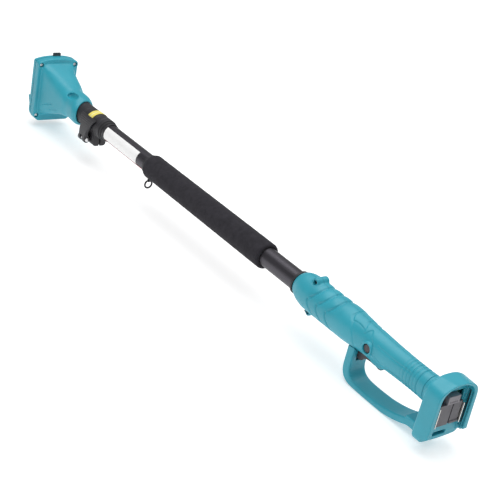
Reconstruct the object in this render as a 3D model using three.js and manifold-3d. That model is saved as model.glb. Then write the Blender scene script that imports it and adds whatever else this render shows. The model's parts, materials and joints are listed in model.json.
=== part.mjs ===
// Telescopic battery pole for a hedge trimmer head: a D-guard rear handle with a battery bay,
// an aluminium outer tube with a foam grip, a lever clamp, and an inner tube that carries the
// flared head with the slide-on tool adapter.
//
// Millimetres. +Z is up, +X points from the head to the battery bay, +Y is the user's right.
// Shapes are laid out in the pole frame: x = 0 at the rear rim, y = z = 0 on the tube's axis.
// The finished group is then moved so that its origin is under its middle, at the lowest point.
import * as THREE from 'three';
import { mergeVertices } from 'three/addons/utils/BufferGeometryUtils.js';
import Module from 'manifold-3d';

const wasm = await Module();
wasm.setup();

// ---- driving dimensions -------------------------------------------------------------------
const GAP = 0.3; // left between pieces that touch

// tubes
const TUBE_R = 16;
const TUBE_WALL = 1.5;
const INNER_R = 14.1;
const INNER_WALL = 1.3;
const OUTER_TUBE_X = [-962, -212];
const INNER_TUBE_X = [-1052, -330];

// foam grip and strap hanger
const FOAM_X = [-758, -410];
const FOAM_R = 22;
const BAND_X = [-765, -759];
const BAND_R = 18.4;
const RING_X = -762;
const RING_PIVOT_Z = -29.2;
const RING_R = 6;
const RING_WIRE_R = 1.5;

// rear handle: x, top, bottom, half width
const HANDLE_STATIONS = [
  [-329, 18.2, 18.6, 18.2],
  [-326, 20.4, 21, 20.6],
  [-320, 22.8, 24.4, 23.2],
  [-311, 24.6, 26.6, 25],
  [-298, 25.3, 27.7, 26],
  [-262, 25.2, 27.7, 26.2],
  [-216, 25, 27.5, 25.6],
  [-194, 23.2, 27.2, 23.6],
  [-170, 21.7, 26.4, 21],
  [-148, 20, 25.4, 19.2],
  [-118, 17.9, 24, 17.6],
  [-84, 16.6, 23.4, 16.8],
  [-46, 16.4, 23.4, 17],
];
const FRONT_HOLLOW = [
  [-313, 24.6, 26.6, 25],
  [-298, 25.3, 27.7, 26],
  [-219, 25, 27.5, 25.6],
];
const REAR_HOLLOW = [
  [-207, 24.4, 27.4, 24.8],
  [-170, 21.7, 26.4, 21],
  [-118, 17.9, 24, 17.6],
  [-45, 16.4, 23.4, 16.8],
];
const SHELL_WALL = 2.6;

// battery housing
const HOUSING_FRONT_X = -28.5;
const HOUSING_HALF_WIDTH = 38.5;
const HOUSING_TOP = 29;
const HOUSING_BOTTOM = -61.5;
const LEG_BOTTOM = -45.5;
const BAY_FLOOR_X = -13;
const BAY_HALF_WIDTH = 30;

// D guard
const GUARD_HALF_WIDTH = 16.5;
const GUARD_BOTTOM = -78;

// trigger and lock-off button
const TRIGGER_PIVOT = [-126, -17];
const TRIGGER_HALF_WIDTH = 5.8;
const BUTTON_AT = [-155, -3.6];
const BUTTON_R = 6.2;

// lever clamp
const COLLAR_X = [-983, -905];
const COLLAR_R = 20.3;
const EAR_X = [-977, -940];
const EAR_HALF_WIDTH = 13.6;
const EAR_BOTTOM = -40;
const LEVER_X = [-981, -947];
const LEVER_PIVOT = [-20.6, -31];
const LEVER_BOSS_R = 6.6;
const BOLT_X = -965;

// head
const NECK_X = -1008.3;
const FLANGE_REAR_X = -1128;
const FLANGE_SEAM_X = -1143;
const FLANGE_FRONT_X = -1150;
const ADAPTER_FRONT_X = -1165;
const FLANGE_HALF_WIDTH = 42.5;
const FLANGE_TOP = 64;
const FLANGE_CORNER_TOP = 57.5;
const FLANGE_BOTTOM = -63.5;
const SCREW_Y = 36;
const SCREW_Z = [52, -51.3];
const HEAD_WALL = 2.8;
// x, top, bottom, half width, squareness of the section (2 = ellipse)
const HEAD_STATIONS = [
  [-1008.3, 20.6, 20.6, 20.6, 2],
  [-1011, 23.4, 23.2, 23.2, 2],
  [-1016, 26.2, 25.6, 25.8, 2],
  [-1022, 27.6, 26.8, 27, 2.1],
  [-1046, 28.6, 27, 27.4, 2.3],
  [-1060, 32.5, 27.6, 28.4, 3],
  [-1078, 38.5, 31.6, 30.6, 4],
  [-1098, 46, 38.5, 33, 5.5],
  [-1118, 52.6, 46.6, 35.2, 8],
  [-1126, 55.6, 50.4, 37, 9],
  [-1132, 58.5, 54, 39.5, 9],
];

// latch tab on the head
const TAB_Y = [-4, 12];
const TAB_X = [-1148.6, -1145.6];
const TAB_Z = [46, 70];

// ---- colours --------------------------------------------------------------------------------
const TEAL = 0x3f9fb5;
const BLACK_PLASTIC = 0x2d2c30;
const DARK_GREY = 0x4a474f;
const FOAM_GREY = 0x38383b;
const ANODISED = 0x48464c;
const STEEL = 0xb9bcc0;
const WHITE = 0xf4f4f2;
const YELLOW = 0xf0e25a;

const material = (color, roughness, metalness) =>
  new THREE.MeshStandardMaterial({ color, roughness, metalness });

// ---- geometry helpers -------------------------------------------------------------------------
// A closed three.js geometry as a manifold solid, with its faces pointing out.
function solid(geometry) {
  const bare = geometry.clone();
  bare.deleteAttribute('normal');
  bare.deleteAttribute('uv');
  const merged = mergeVertices(bare, 1e-4);
  const vertProperties = new Float32Array(merged.attributes.position.array);
  const triVerts = new Uint32Array(merged.index.array);
  const made = new wasm.Manifold(new wasm.Mesh({ numProp: 3, vertProperties, triVerts }));
  if (made.volume() > 0) return made;
  for (let i = 0; i < triVerts.length; i += 3) {
    [triVerts[i], triVerts[i + 1]] = [triVerts[i + 1], triVerts[i]];
  }
  return new wasm.Manifold(new wasm.Mesh({ numProp: 3, vertProperties, triVerts }));
}

function toGeometry(manifold) {
  const mesh = manifold.getMesh();
  const geometry = new THREE.BufferGeometry();
  geometry.setAttribute('position', new THREE.BufferAttribute(mesh.vertProperties, 3));
  geometry.setIndex(new THREE.BufferAttribute(mesh.triVerts, 1));
  geometry.computeVertexNormals();
  return geometry;
}

const joined = (first, ...others) => others.reduce((sum, next) => sum.add(next), first);
const cut = (first, ...others) => others.reduce((rest, next) => rest.subtract(next), first);

function box(x, y, z) {
  const geometry = new THREE.BoxGeometry(x[1] - x[0], y[1] - y[0], z[1] - z[0]);
  geometry.translate((x[0] + x[1]) / 2, (y[0] + y[1]) / 2, (z[0] + z[1]) / 2);
  return solid(geometry);
}

function polygon(points) {
  return new THREE.Shape(points.map(([u, v]) => new THREE.Vector2(u, v)));
}

function disc(radius, u = 0, v = 0) {
  const shape = new THREE.Shape();
  shape.absarc(u, v, radius, 0, 2 * Math.PI, false);
  return shape;
}

function extruded(shape, length, bevel, segments) {
  return new THREE.ExtrudeGeometry(shape, {
    depth: length - 2 * bevel,
    steps: 1,
    curveSegments: segments,
    bevelEnabled: bevel > 0,
    bevelThickness: bevel,
    bevelSize: bevel,
    bevelOffset: -bevel,
    bevelSegments: 1,
  }).translate(0, 0, bevel);
}

// A (y, z) outline swept along x, and an (x, z) outline swept along y.
function alongX(shape, x, { bevel = 0, segments = 8 } = {}) {
  const geometry = extruded(shape, x[1] - x[0], bevel, segments);
  const axes = [new THREE.Vector3(0, 1, 0), new THREE.Vector3(0, 0, 1), new THREE.Vector3(1, 0, 0)];
  geometry.applyMatrix4(new THREE.Matrix4().makeBasis(...axes)).translate(x[0], 0, 0);
  return solid(geometry);
}

function alongY(shape, y, { bevel = 0, segments = 8 } = {}) {
  const geometry = extruded(shape, y[1] - y[0], bevel, segments);
  const axes = [new THREE.Vector3(1, 0, 0), new THREE.Vector3(0, 0, 1), new THREE.Vector3(0, -1, 0)];
  geometry.applyMatrix4(new THREE.Matrix4().makeBasis(...axes)).translate(0, y[1], 0);
  return solid(geometry);
}

// Rods and pipes with a given number of flat sides; a full circle takes two sides per segment.
function rodX(radius, x, { y = 0, z = 0, sides = 32 } = {}) {
  return alongX(disc(radius, y, z), x, { segments: sides / 2 });
}

function rodY(radius, y, x, z, sides = 16) {
  return alongY(disc(radius, x, z), y, { segments: sides / 2 });
}

function pipeX(outer, inner, x, sides = 32) {
  const shape = disc(outer);
  shape.holes.push(disc(inner));
  return alongX(shape, x, { segments: sides / 2 });
}

// A profile of (x, radius) points, closed on itself, turned about the pole's axis.
function turned(profile, sides = 32) {
  const closed = [...profile, profile[0]].map(([x, r]) => new THREE.Vector2(r, x));
  const geometry = new THREE.LatheGeometry(closed, sides);
  return solid(geometry.rotateZ(-Math.PI / 2));
}

// A closed skin through sections [x, top, bottom, half width, squareness] along x.
function loft(stations, inset = 0, sides = 24) {
  const last = stations.length - 1;
  const geometry = new THREE.CylinderGeometry(1, 1, 1, sides, last);
  const position = geometry.attributes.position;
  for (let i = 0; i < position.count; i++) {
    const row = Math.round((0.5 - position.getY(i)) * last);
    const [x, top, bottom, half, squareness = 2] = stations[row];
    const c = Math.round(position.getX(i) * 1e6) / 1e6;
    const s = Math.round(position.getZ(i) * 1e6) / 1e6;
    const power = 2 / squareness;
    const height = (s > 0 ? top : bottom) - inset;
    const y = (half - inset) * Math.sign(c) * Math.abs(c) ** power;
    const z = height * Math.sign(s) * Math.abs(s) ** power;
    position.setXYZ(i, x, y, z);
  }
  return solid(geometry);
}

// A round wire coiled about an axis that starts at a point and runs along x, y or z.
function coil({ at, axis, length, radius, wire, turns }) {
  const across = { x: ['y', 'z'], y: ['z', 'x'], z: ['x', 'y'] }[axis];
  const steps = 6 * turns;
  const points = [];
  for (let i = 0; i <= steps; i++) {
    const angle = (2 * Math.PI * i) / 6;
    const point = new THREE.Vector3(...at);
    point[axis] += (length * i) / steps;
    point[across[0]] += radius * Math.cos(angle);
    point[across[1]] += radius * Math.sin(angle);
    points.push(point);
  }
  const path = new THREE.CatmullRomCurve3(points);
  const geometry = new THREE.ExtrudeGeometry(disc(wire), {
    steps,
    curveSegments: 3,
    bevelEnabled: false,
    extrudePath: path,
  });
  return solid(geometry);
}

function node(name, manifold, look) {
  const mesh = new THREE.Mesh(toGeometry(manifold), look);
  mesh.name = name;
  return mesh;
}

// ---- tubes, foam grip and strap hanger ---------------------------------------------------------
function tubes() {
  const bushRear = INNER_TUBE_X[1];
  const bush = turned([
    [bushRear + GAP, 9],
    [bushRear + GAP, INNER_R + 0.1],
    [bushRear + 12, INNER_R + 0.1],
    [bushRear + 12, 9],
  ]);
  return [
    node('outer_tube', pipeX(TUBE_R, TUBE_R - TUBE_WALL, OUTER_TUBE_X), material(ANODISED, 0.35, 0.8)),
    node('inner_tube', pipeX(INNER_R, INNER_R - INNER_WALL, INNER_TUBE_X), material(STEEL, 0.4, 0.8)),
    node('tube_guide_bush', bush, material(BLACK_PLASTIC, 0.6, 0)),
  ];
}

// The curly lead that links the battery bay to the head, as one tube of its outer size.
function lead() {
  const body = rodX(6, [-1048, -222], { sides: 12 });
  return node('coiled_lead', body, material(BLACK_PLASTIC, 0.7, 0));
}

function foamGrip() {
  const r = FOAM_R;
  const bore = TUBE_R + GAP;
  const [front, rear] = FOAM_X;
  const body = turned([
    [front, bore],
    [front, r - 2],
    [front + 2, r],
    [rear - 2, r],
    [rear, r - 2],
    [rear, bore],
  ]);
  return node('foam_grip', body, material(FOAM_GREY, 0.95, 0));
}

function strapHanger() {
  const lug = alongY(
    polygon([
      [RING_X - 3, -14],
      [RING_X + 3, -14],
      [RING_X + 3, RING_PIVOT_Z + 1],
      [RING_X + 1.6, RING_PIVOT_Z - 2.8],
      [RING_X - 1.6, RING_PIVOT_Z - 2.8],
      [RING_X - 3, RING_PIVOT_Z + 1],
    ]),
    [-1.6, 1.6],
  );
  const eye = rodY(RING_WIRE_R + GAP, [-3, 3], RING_X, RING_PIVOT_Z, 12);
  const bore = rodX(TUBE_R + GAP, [BAND_X[0] - 1, BAND_X[1] + 1]);
  const band = cut(joined(rodX(BAND_R, BAND_X), lug), eye, bore);
  const ring = new THREE.TorusGeometry(RING_R, RING_WIRE_R, 8, 20);
  ring.rotateY(Math.PI / 2).translate(RING_X, 0, RING_PIVOT_Z - RING_R);
  return [
    node('strap_band', band, material(BLACK_PLASTIC, 0.55, 0)),
    node('strap_ring', solid(ring), material(BLACK_PLASTIC, 0.45, 0.2)),
  ];
}

// The white data plate: a thin patch curved round the tube's left side.
function tubeLabel() {
  const [low, high] = [-32, 57].map(THREE.MathUtils.degToRad);
  const inner = TUBE_R + GAP;
  const outer = inner + 0.35;
  const shape = new THREE.Shape();
  shape.absarc(0, 0, outer, Math.PI - high, Math.PI - low, false);
  shape.absarc(0, 0, inner, Math.PI - low, Math.PI - high, true);
  const body = alongX(shape, [-904, -789], { segments: 5 });
  return node('tube_label', body, material(WHITE, 0.5, 0));
}

// ---- rear handle ---------------------------------------------------------------------------------
// Material between the skin and an inset skin, kept where the cutter reaches: a shallow groove.
function groove(profile, depth) {
  return cut(alongY(polygon(profile), [-40, 40]), loft(HANDLE_STATIONS, depth));
}

function chevronGrooves() {
  const pitch = 19.5;
  const width = 2.4;
  return [0, 1, 2].map((i) => {
    const x = -258 + i * pitch;
    const line = [[x, 27], [x - 26, 0], [x - 13, -16]];
    const back = line.map(([u, v]) => [u + width, v]).reverse();
    return groove([...line, ...back], 1.2);
  });
}

function thumbGrooves() {
  return [-192, -168].map((x) => {
    const line = [[x, 26], [x - 9, 13]];
    const back = line.map(([u, v]) => [u + 1.8, v]).reverse();
    return groove([...line, ...back], 0.8);
  });
}

function ringGrooves() {
  return [-80, -69, -58].map((x) => groove([[x, -30], [x, 30], [x + 1.6, 30], [x + 1.6, -30]], 1));
}

const topBossOutline = [[-304, 20], [-298, 28.4], [-290, 30], [-276, 31.4], [-273, 29.6], [-272, 20]];
const bottomBossOutline = [[-312, -22], [-307, -30.6], [-301, -33.6], [-294, -33.2], [-288, -22]];
// x, z, and the side that the screw goes in from (-1 left, +1 right)
const HANDLE_SCREWS = {
  handle_screw_front_top: [-291, 24.8, -1],
  handle_screw_front_bottom: [-299, -27.8, -1],
  handle_screw_rear_top: [-100, 6, 1],
  handle_screw_rear_bottom: [-90, -15, 1],
};
const SCREW_HEAD_SEAT = 5.5;
const SCREW_HEAD_R = 3.3;
const SCREW_SHANK_R = 1.5;

function handleScrew([x, z, side]) {
  const span = (from, to) => [from * side, to * side].sort((a, b) => a - b);
  const head = rodY(SCREW_HEAD_R, span(SCREW_HEAD_SEAT + GAP, SCREW_HEAD_SEAT + 2.6), x, z, 12);
  const shank = rodY(SCREW_SHANK_R, span(SCREW_HEAD_SEAT + 1, -6), x, z, 8);
  const slotDepth = span(SCREW_HEAD_SEAT + 1.6, SCREW_HEAD_SEAT + 4);
  const slot = box([x - 4, x + 4], slotDepth, [z - 0.5, z + 0.5]);
  return cut(joined(head, shank), slot);
}

function screwHole([x, z, side]) {
  const span = (from, to) => [from * side, to * side].sort((a, b) => a - b);
  const counterbore = rodY(SCREW_HEAD_R + GAP, span(SCREW_HEAD_SEAT, 40), x, z, 12);
  const shank = rodY(SCREW_SHANK_R + GAP, span(SCREW_HEAD_SEAT + 1, -7), x, z, 8);
  return joined(counterbore, shank);
}

function handleBody() {
  const skin = joined(
    loft(HANDLE_STATIONS),
    alongY(polygon(topBossOutline), [-11, 11], { bevel: 1 }),
    alongY(polygon(bottomBossOutline), [-9, 9], { bevel: 1 }),
  );
  const [px, pz] = TRIGGER_PIVOT;
  const pillars = Object.values(HANDLE_SCREWS).map(([x, z]) => rodY(5, [-40, 40], x, z, 10));
  const springRib = box([-179, -166], [-40, 40], [-2.5, 0.5]);
  const tubeSeat = rodX(19, [-330, -208], { sides: 20 });
  const frontHollow = cut(loft(FRONT_HOLLOW, SHELL_WALL, 16), tubeSeat, ...pillars);
  const pinBoss = rodY(4.6, [-40, 40], px, pz, 10);
  const rearHollow = cut(loft(REAR_HOLLOW, SHELL_WALL, 16), springRib, pinBoss, ...pillars);
  const triggerSlot = box([-192, -119], [-6.3, 6.3], [-40, -2.6]);
  const wireWay = box([-216, -190], [-8, 8], [-8, 8]);
  return cut(
    skin,
    frontHollow,
    rearHollow,
    rodX(TUBE_R + GAP, [-340, OUTER_TUBE_X[1] + GAP]),
    triggerSlot,
    rodY(2 + GAP, [-8.8, 8.8], px, pz, 12),
    wireWay,
    ...chevronGrooves(),
    ...thumbGrooves(),
    ...ringGrooves(),
    ...Object.values(HANDLE_SCREWS).map(screwHole),
  );
}

function handleShells() {
  const body = handleBody();
  const [bx, bz] = BUTTON_AT;
  const ring = rodY(10.6, [-21.6, -12], bx, bz, 20);
  const collar = cut(ring, loft(HANDLE_STATIONS, SHELL_WALL - 0.4));
  const buttonHole = rodY(BUTTON_R + GAP, [-30, -2], bx, bz, 20);
  const half = (y) => body.intersect(box([-400, 0], y, [-60, 60]));
  const left = cut(joined(half([-60, -GAP / 2]), collar), buttonHole);
  const front = [-333.5, -329 - GAP];
  return [
    node('handle_shell_left', left, material(TEAL, 0.45, 0)),
    node('handle_shell_right', half([GAP / 2, 60]), material(TEAL, 0.45, 0)),
    node('front_cuff', pipeX(19.2, TUBE_R + GAP, front), material(BLACK_PLASTIC, 0.7, 0)),
    ...Object.entries(HANDLE_SCREWS).map(([name, place]) =>
      node(name, handleScrew(place), material(0x26262a, 0.4, 0.9))),
  ];
}

// ---- D guard ---------------------------------------------------------------------------------------
function handGuard() {
  const rearX = HOUSING_FRONT_X - GAP;
  const outline = new THREE.Shape();
  outline.moveTo(-193.5, -18);
  outline.lineTo(-194, -54);
  outline.quadraticCurveTo(-194, -76, -171, GUARD_BOTTOM + 0.8);
  outline.lineTo(-142, GUARD_BOTTOM);
  outline.lineTo(-105, GUARD_BOTTOM);
  outline.quadraticCurveTo(-80, -75.5, -58, -66.5);
  outline.lineTo(-46, -64);
  outline.lineTo(rearX, -60);
  outline.lineTo(rearX, -49);
  outline.lineTo(-44, -51);
  outline.lineTo(-58, -54.6);
  outline.quadraticCurveTo(-84, -66, -116, -69);
  outline.quadraticCurveTo(-146, -70.6, -162, -69);
  outline.quadraticCurveTo(-180.5, -66.5, -180.5, -50);
  outline.lineTo(-180, -18);
  const half = GUARD_HALF_WIDTH;
  const bar = alongY(outline, [-half, half], { bevel: 2.4, segments: 6 });
  const plug = box([-60, -42], [-half + 1, half - 1], [-62.5, -51.5]);
  const clearOfHandle = loft(HANDLE_STATIONS, -GAP);
  const nosePocket = box([-188.5, -178], [-6.6, 6.6], [-42, -10]);
  const trimmed = cut(joined(bar, plug), clearOfHandle, nosePocket);
  return node('hand_guard', trimmed, material(TEAL, 0.45, 0));
}

// ---- battery housing -----------------------------------------------------------------------------------
function housingOutline() {
  const half = HOUSING_HALF_WIDTH;
  const shape = new THREE.Shape();
  shape.moveTo(0, HOUSING_BOTTOM);
  shape.quadraticCurveTo(20, HOUSING_BOTTOM + 0.4, 28, -58.5);
  shape.quadraticCurveTo(half, -55, half, -42);
  shape.lineTo(half - 1.6, 6);
  shape.quadraticCurveTo(half - 1.8, 19, 28, 23.2);
  shape.quadraticCurveTo(14, HOUSING_TOP, 0, HOUSING_TOP);
  shape.quadraticCurveTo(-14, HOUSING_TOP, -28, 23.2);
  shape.quadraticCurveTo(-half + 1.8, 19, -half + 1.6, 6);
  shape.lineTo(-half, -42);
  shape.quadraticCurveTo(-half, -55, -28, -58.5);
  shape.quadraticCurveTo(-20, HOUSING_BOTTOM + 0.4, 0, HOUSING_BOTTOM);
  return shape;
}

// The bay's inside outline, a little under the arch and between the two legs.
function bayOutline() {
  const half = BAY_HALF_WIDTH;
  const shape = new THREE.Shape();
  shape.moveTo(-half, -80);
  shape.lineTo(half, -80);
  shape.lineTo(half, 14);
  shape.quadraticCurveTo(half - 1, 20, 22, 22.5);
  shape.quadraticCurveTo(11, HOUSING_TOP - 2.6, 0, HOUSING_TOP - 2.6);
  shape.quadraticCurveTo(-11, HOUSING_TOP - 2.6, -22, 22.5);
  shape.quadraticCurveTo(-half + 1, 20, -half, 14);
  return shape;
}

function batteryHousing() {
  const shell = alongX(housingOutline(), [HOUSING_FRONT_X, 0], { bevel: 1.2, segments: 6 });
  const neck = loft([
    [-46 + GAP, 16.4, 23.4, 17],
    [-40, 17.6, 24.4, 18.4],
    [-34, 20.6, 27, 21.6],
    [-29, 25.4, 31.5, 26.5],
    [-26, 27, 34, 30],
  ]);
  const spigot = loft([[-60, 16.2, 23.2, 16.6], [-44, 16.2, 23.2, 16.6]], SHELL_WALL + GAP, 16);
  const legEnds = alongY(
    polygon([[BAY_FLOOR_X, -90], [BAY_FLOOR_X, -54], [2, LEG_BOTTOM + 1], [2, -90]]),
    [-60, 60],
  );
  const bay = alongX(bayOutline(), [BAY_FLOOR_X, 4], { segments: 6 });
  const railSlots = [-1, 1].map((side) => {
    const y = side > 0 ? [BAY_HALF_WIDTH - 1, 34] : [-34, 1 - BAY_HALF_WIDTH];
    return box([-9.5, -4.5], y, [-80, 12]);
  });
  const window = box([-18, BAY_FLOOR_X + 1], [-25.4, 25.4], [-36.4, 12.5]);
  const chamber = box([-25.8, -17], [-34, 34], [-46, 18]);
  const wireWay = rodX(10.5, [-62, -24], { sides: 16 });
  const latchSlot = box([-22, BAY_FLOOR_X + 1], [-12, 12], [-55.5, -49.5]);
  const solidBody = joined(shell, neck, spigot);
  const body = cut(solidBody, legEnds, bay, ...railSlots, window, chamber, wireWay, latchSlot);
  return node('battery_housing', body, material(TEAL, 0.45, 0));
}

function terminals() {
  const groove = box([-3.4, 0], [2, 4], [-29, 0]);
  const block = cut(box([-20, -2], [-21.2, 21.2], [-35.4, -1]), groove);
  const connector = box([-20, -2.2], [-11, 11], [-1 + GAP, 11]);
  const blade = (y) => box([-17, -1.6], [y - 0.6, y + 0.6], [-35, -4]);
  const board = box([-24, -22.4], [-28, 28], [-40, 14]);
  return [
    node('terminal_block', block, material(DARK_GREY, 0.6, 0)),
    node('data_connector', connector, material(0x77737c, 0.6, 0)),
    node('terminal_blade_left', blade(-22.6), material(STEEL, 0.25, 1)),
    node('terminal_blade_right', blade(22.6), material(STEEL, 0.25, 1)),
    node('controller_board', board, material(0x1f5a3c, 0.6, 0)),
  ];
}

// ---- trigger, lock-off button and switch ---------------------------------------------------------------
function triggerGroup() {
  const [px, pz] = TRIGGER_PIVOT;
  const outline = new THREE.Shape();
  outline.moveTo(-184.5, -16.5);
  outline.lineTo(-185, -26);
  outline.quadraticCurveTo(-184, -37.6, -175, -37.6);
  outline.quadraticCurveTo(-166, -36.6, -158, -32.6);
  outline.quadraticCurveTo(-148, -30, -134, -30);
  outline.lineTo(-126, -25.5);
  outline.quadraticCurveTo(-120.5, -22, -120.5, -16);
  outline.lineTo(-123, -13);
  outline.lineTo(-146, -13.2);
  outline.lineTo(-149, -15.8);
  const half = TRIGGER_HALF_WIDTH;
  const lever = alongY(outline, [-half, half], { bevel: 0.8, segments: 5 });
  const bore = rodY(2 + GAP, [-8, 8], px, pz, 12);
  const pinEnds = rodY(2, [-8.5, 8.5], px, pz, 12);
  const switchBody = joined(
    box([-147, -117], [-7.5, 7.5], [-8.2, 7]),
    box([-133, -129], [-2.5, 2.5], [-10.2, -7]),
  );
  const spring = coil({
    at: [-172.5, 0, -15.2],
    axis: 'z',
    length: 11,
    radius: 2.9,
    wire: 0.5,
    turns: 4,
  });
  return [
    node('trigger', cut(lever, bore), material(0x54494d, 0.55, 0)),
    node('trigger_pin', pinEnds, material(STEEL, 0.3, 1)),
    node('trigger_spring', spring, material(STEEL, 0.3, 1)),
    node('switch_body', switchBody, material(BLACK_PLASTIC, 0.6, 0)),
  ];
}

function lockOff() {
  const [x, z] = BUTTON_AT;
  const face = rodY(BUTTON_R, [-20.4, -9], x, z, 20);
  const stem = rodY(2.2, [-10, 6], x, z, 12);
  const spring = coil({ at: [x, -8.2, z], axis: 'y', length: 13, radius: 3.6, wire: 0.5, turns: 4 });
  return [
    node('lockoff_button', joined(face, stem), material(0x6e5a5e, 0.5, 0)),
    node('lockoff_spring', spring, material(STEEL, 0.3, 1)),
  ];
}

// ---- lever clamp ---------------------------------------------------------------------------------------
function earOutline() {
  const half = EAR_HALF_WIDTH;
  const shape = new THREE.Shape();
  shape.moveTo(-half, -10);
  shape.lineTo(-half, EAR_BOTTOM + 7);
  shape.quadraticCurveTo(-half, EAR_BOTTOM, -half + 7, EAR_BOTTOM);
  shape.lineTo(half - 7, EAR_BOTTOM);
  shape.quadraticCurveTo(half, EAR_BOTTOM, half, EAR_BOTTOM + 7);
  shape.lineTo(half, -10);
  return shape;
}

function clampCollar() {
  const [front, rear] = COLLAR_X;
  const sleeve = turned([
    [front, 12],
    [front, COLLAR_R - 0.8],
    [front + 0.8, COLLAR_R],
    [rear - 16, COLLAR_R],
    [rear - 15, COLLAR_R + 0.8],
    [rear - 1, COLLAR_R + 0.8],
    [rear, COLLAR_R - 0.2],
    [rear, 12],
  ]);
  const ears = alongX(earOutline(), EAR_X, { bevel: 1.2, segments: 5 });
  const tubeSeat = rodX(TUBE_R + GAP, [OUTER_TUBE_X[0] - GAP, rear + 1]);
  const passage = rodX(INNER_R + GAP, [front - 1, rear]);
  const slit = box([front - 1, -933], [-1.4, 1.4], [-60, -10]);
  const boltHole = rodY(2.5 + GAP, [-30, 30], BOLT_X, LEVER_PIVOT[1], 12);
  const nutPocket = rodY(5.2 + GAP, [9.5, 30], BOLT_X, LEVER_PIVOT[1], 12);
  const boltZ = LEVER_PIVOT[1];
  const eyeRoom = box([BOLT_X - 5, BOLT_X + 5], [-30, -8], [boltZ - 6, boltZ + 6]);
  const body = cut(joined(sleeve, ears), tubeSeat, passage, slit, boltHole, nutPocket, eyeRoom);
  return node('clamp_collar', body, material(BLACK_PLASTIC, 0.55, 0));
}

function clampLever() {
  const [py, pz] = LEVER_PIVOT;
  const bossFront = BOLT_X - 12;
  const bossRear = BOLT_X + 12;
  const inner = COLLAR_R + 1;
  const outer = COLLAR_R + 5;
  const plate = new THREE.Shape();
  plate.moveTo(py - LEVER_BOSS_R, pz);
  plate.quadraticCurveTo(-outer - 3.4, -14, -outer, 2);
  plate.quadraticCurveTo(-outer + 1, 12, -18.6, 18.2);
  plate.lineTo(-15.8, 15);
  plate.quadraticCurveTo(-inner - 0.2, 8, -inner, -2);
  plate.quadraticCurveTo(-inner, -10, -inner + 1, -20);
  plate.lineTo(py + 5, pz + 3);
  plate.lineTo(py, pz);
  const wrap = alongX(plate, LEVER_X, { bevel: 0.8, segments: 6 });
  const boss = rodX(LEVER_BOSS_R, [bossFront, bossRear], { y: py, z: pz, sides: 20 });
  const corners = [
    polygon([[-990, -60], [-990, -14], [-982, -14], [bossFront, pz - 2], [bossFront, -60]]),
    polygon([[-940, -60], [-940, 12], [-946, 6], [bossRear, pz + 4], [bossRear, -60]]),
  ].map((shape) => alongY(shape, [-50, 0]));
  const eyeRoom = box([BOLT_X - 4.2, BOLT_X + 4.2], [-40, -8], [pz - 8, pz + 6.4]);
  const bore = rodX(2 + GAP, [-1000, -930], { y: py, z: pz, sides: 12 });
  const clear = joined(
    rodX(COLLAR_R + 0.9, [-990, -940]),
    rodX(4.5, [-990, bossFront], { y: py, z: pz, sides: 16 }),
    rodX(4.5, [bossRear, -940], { y: py, z: pz, sides: 16 }),
    box([-990, -940], [-EAR_HALF_WIDTH - GAP, 0], [-60, 0]),
  );
  const body = joined(cut(wrap, ...corners), boss);
  return node('clamp_lever', cut(body, eyeRoom, bore, clear), material(0x4b4b4e, 0.5, 0));
}

function clampHardware() {
  const [py, pz] = LEVER_PIVOT;
  const pin = joined(
    rodX(2, [BOLT_X - 12.6, BOLT_X + 12.6], { y: py, z: pz, sides: 12 }),
    rodX(4, [BOLT_X + 12 + GAP, BOLT_X + 13.6], { y: py, z: pz, sides: 16 }),
    rodX(4, [BOLT_X - 13.6, BOLT_X - 12 - GAP], { y: py, z: pz, sides: 16 }),
  );
  const eye = rodX(4.6, [BOLT_X - 3.8, BOLT_X + 3.8], { y: py, z: pz, sides: 16 });
  const shank = rodY(2.5, [py, 13], BOLT_X, pz, 12);
  const eyeBore = rodX(2 + GAP, [BOLT_X - 5, BOLT_X + 5], { y: py, z: pz, sides: 12 });
  const nutBore = rodY(2.5 + GAP, [9, 14], BOLT_X, pz, 12);
  const nut = cut(rodY(5, [9.5 + GAP, 13.4], BOLT_X, pz, 6), nutBore);
  return [
    node('clamp_lever_pin', pin, material(STEEL, 0.25, 1)),
    node('clamp_eye_bolt', cut(joined(eye, shank), eyeBore), material(STEEL, 0.3, 1)),
    node('clamp_nut', nut, material(STEEL, 0.35, 1)),
  ];
}

// The yellow marker: two stripes joined by a thin web, curved over the collar's top.
function collarLabel() {
  const [low, high] = [-28, 132].map(THREE.MathUtils.degToRad);
  const inner = COLLAR_R + GAP;
  const arc = (outer) => {
    const shape = new THREE.Shape();
    shape.absarc(0, 0, outer, low + Math.PI / 6, high + Math.PI / 12, false);
    shape.absarc(0, 0, inner, high + Math.PI / 12, low + Math.PI / 6, true);
    return shape;
  };
  const stripe = (x) => alongX(arc(inner + 0.5), x, { segments: 7 });
  const web = alongX(arc(inner + 0.3), [-964, -952], { segments: 7 });
  const body = joined(stripe([-966, -959.5]), web, stripe([-957.5, -951]));
  return node('collar_label', body, material(YELLOW, 0.5, 0));
}

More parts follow.
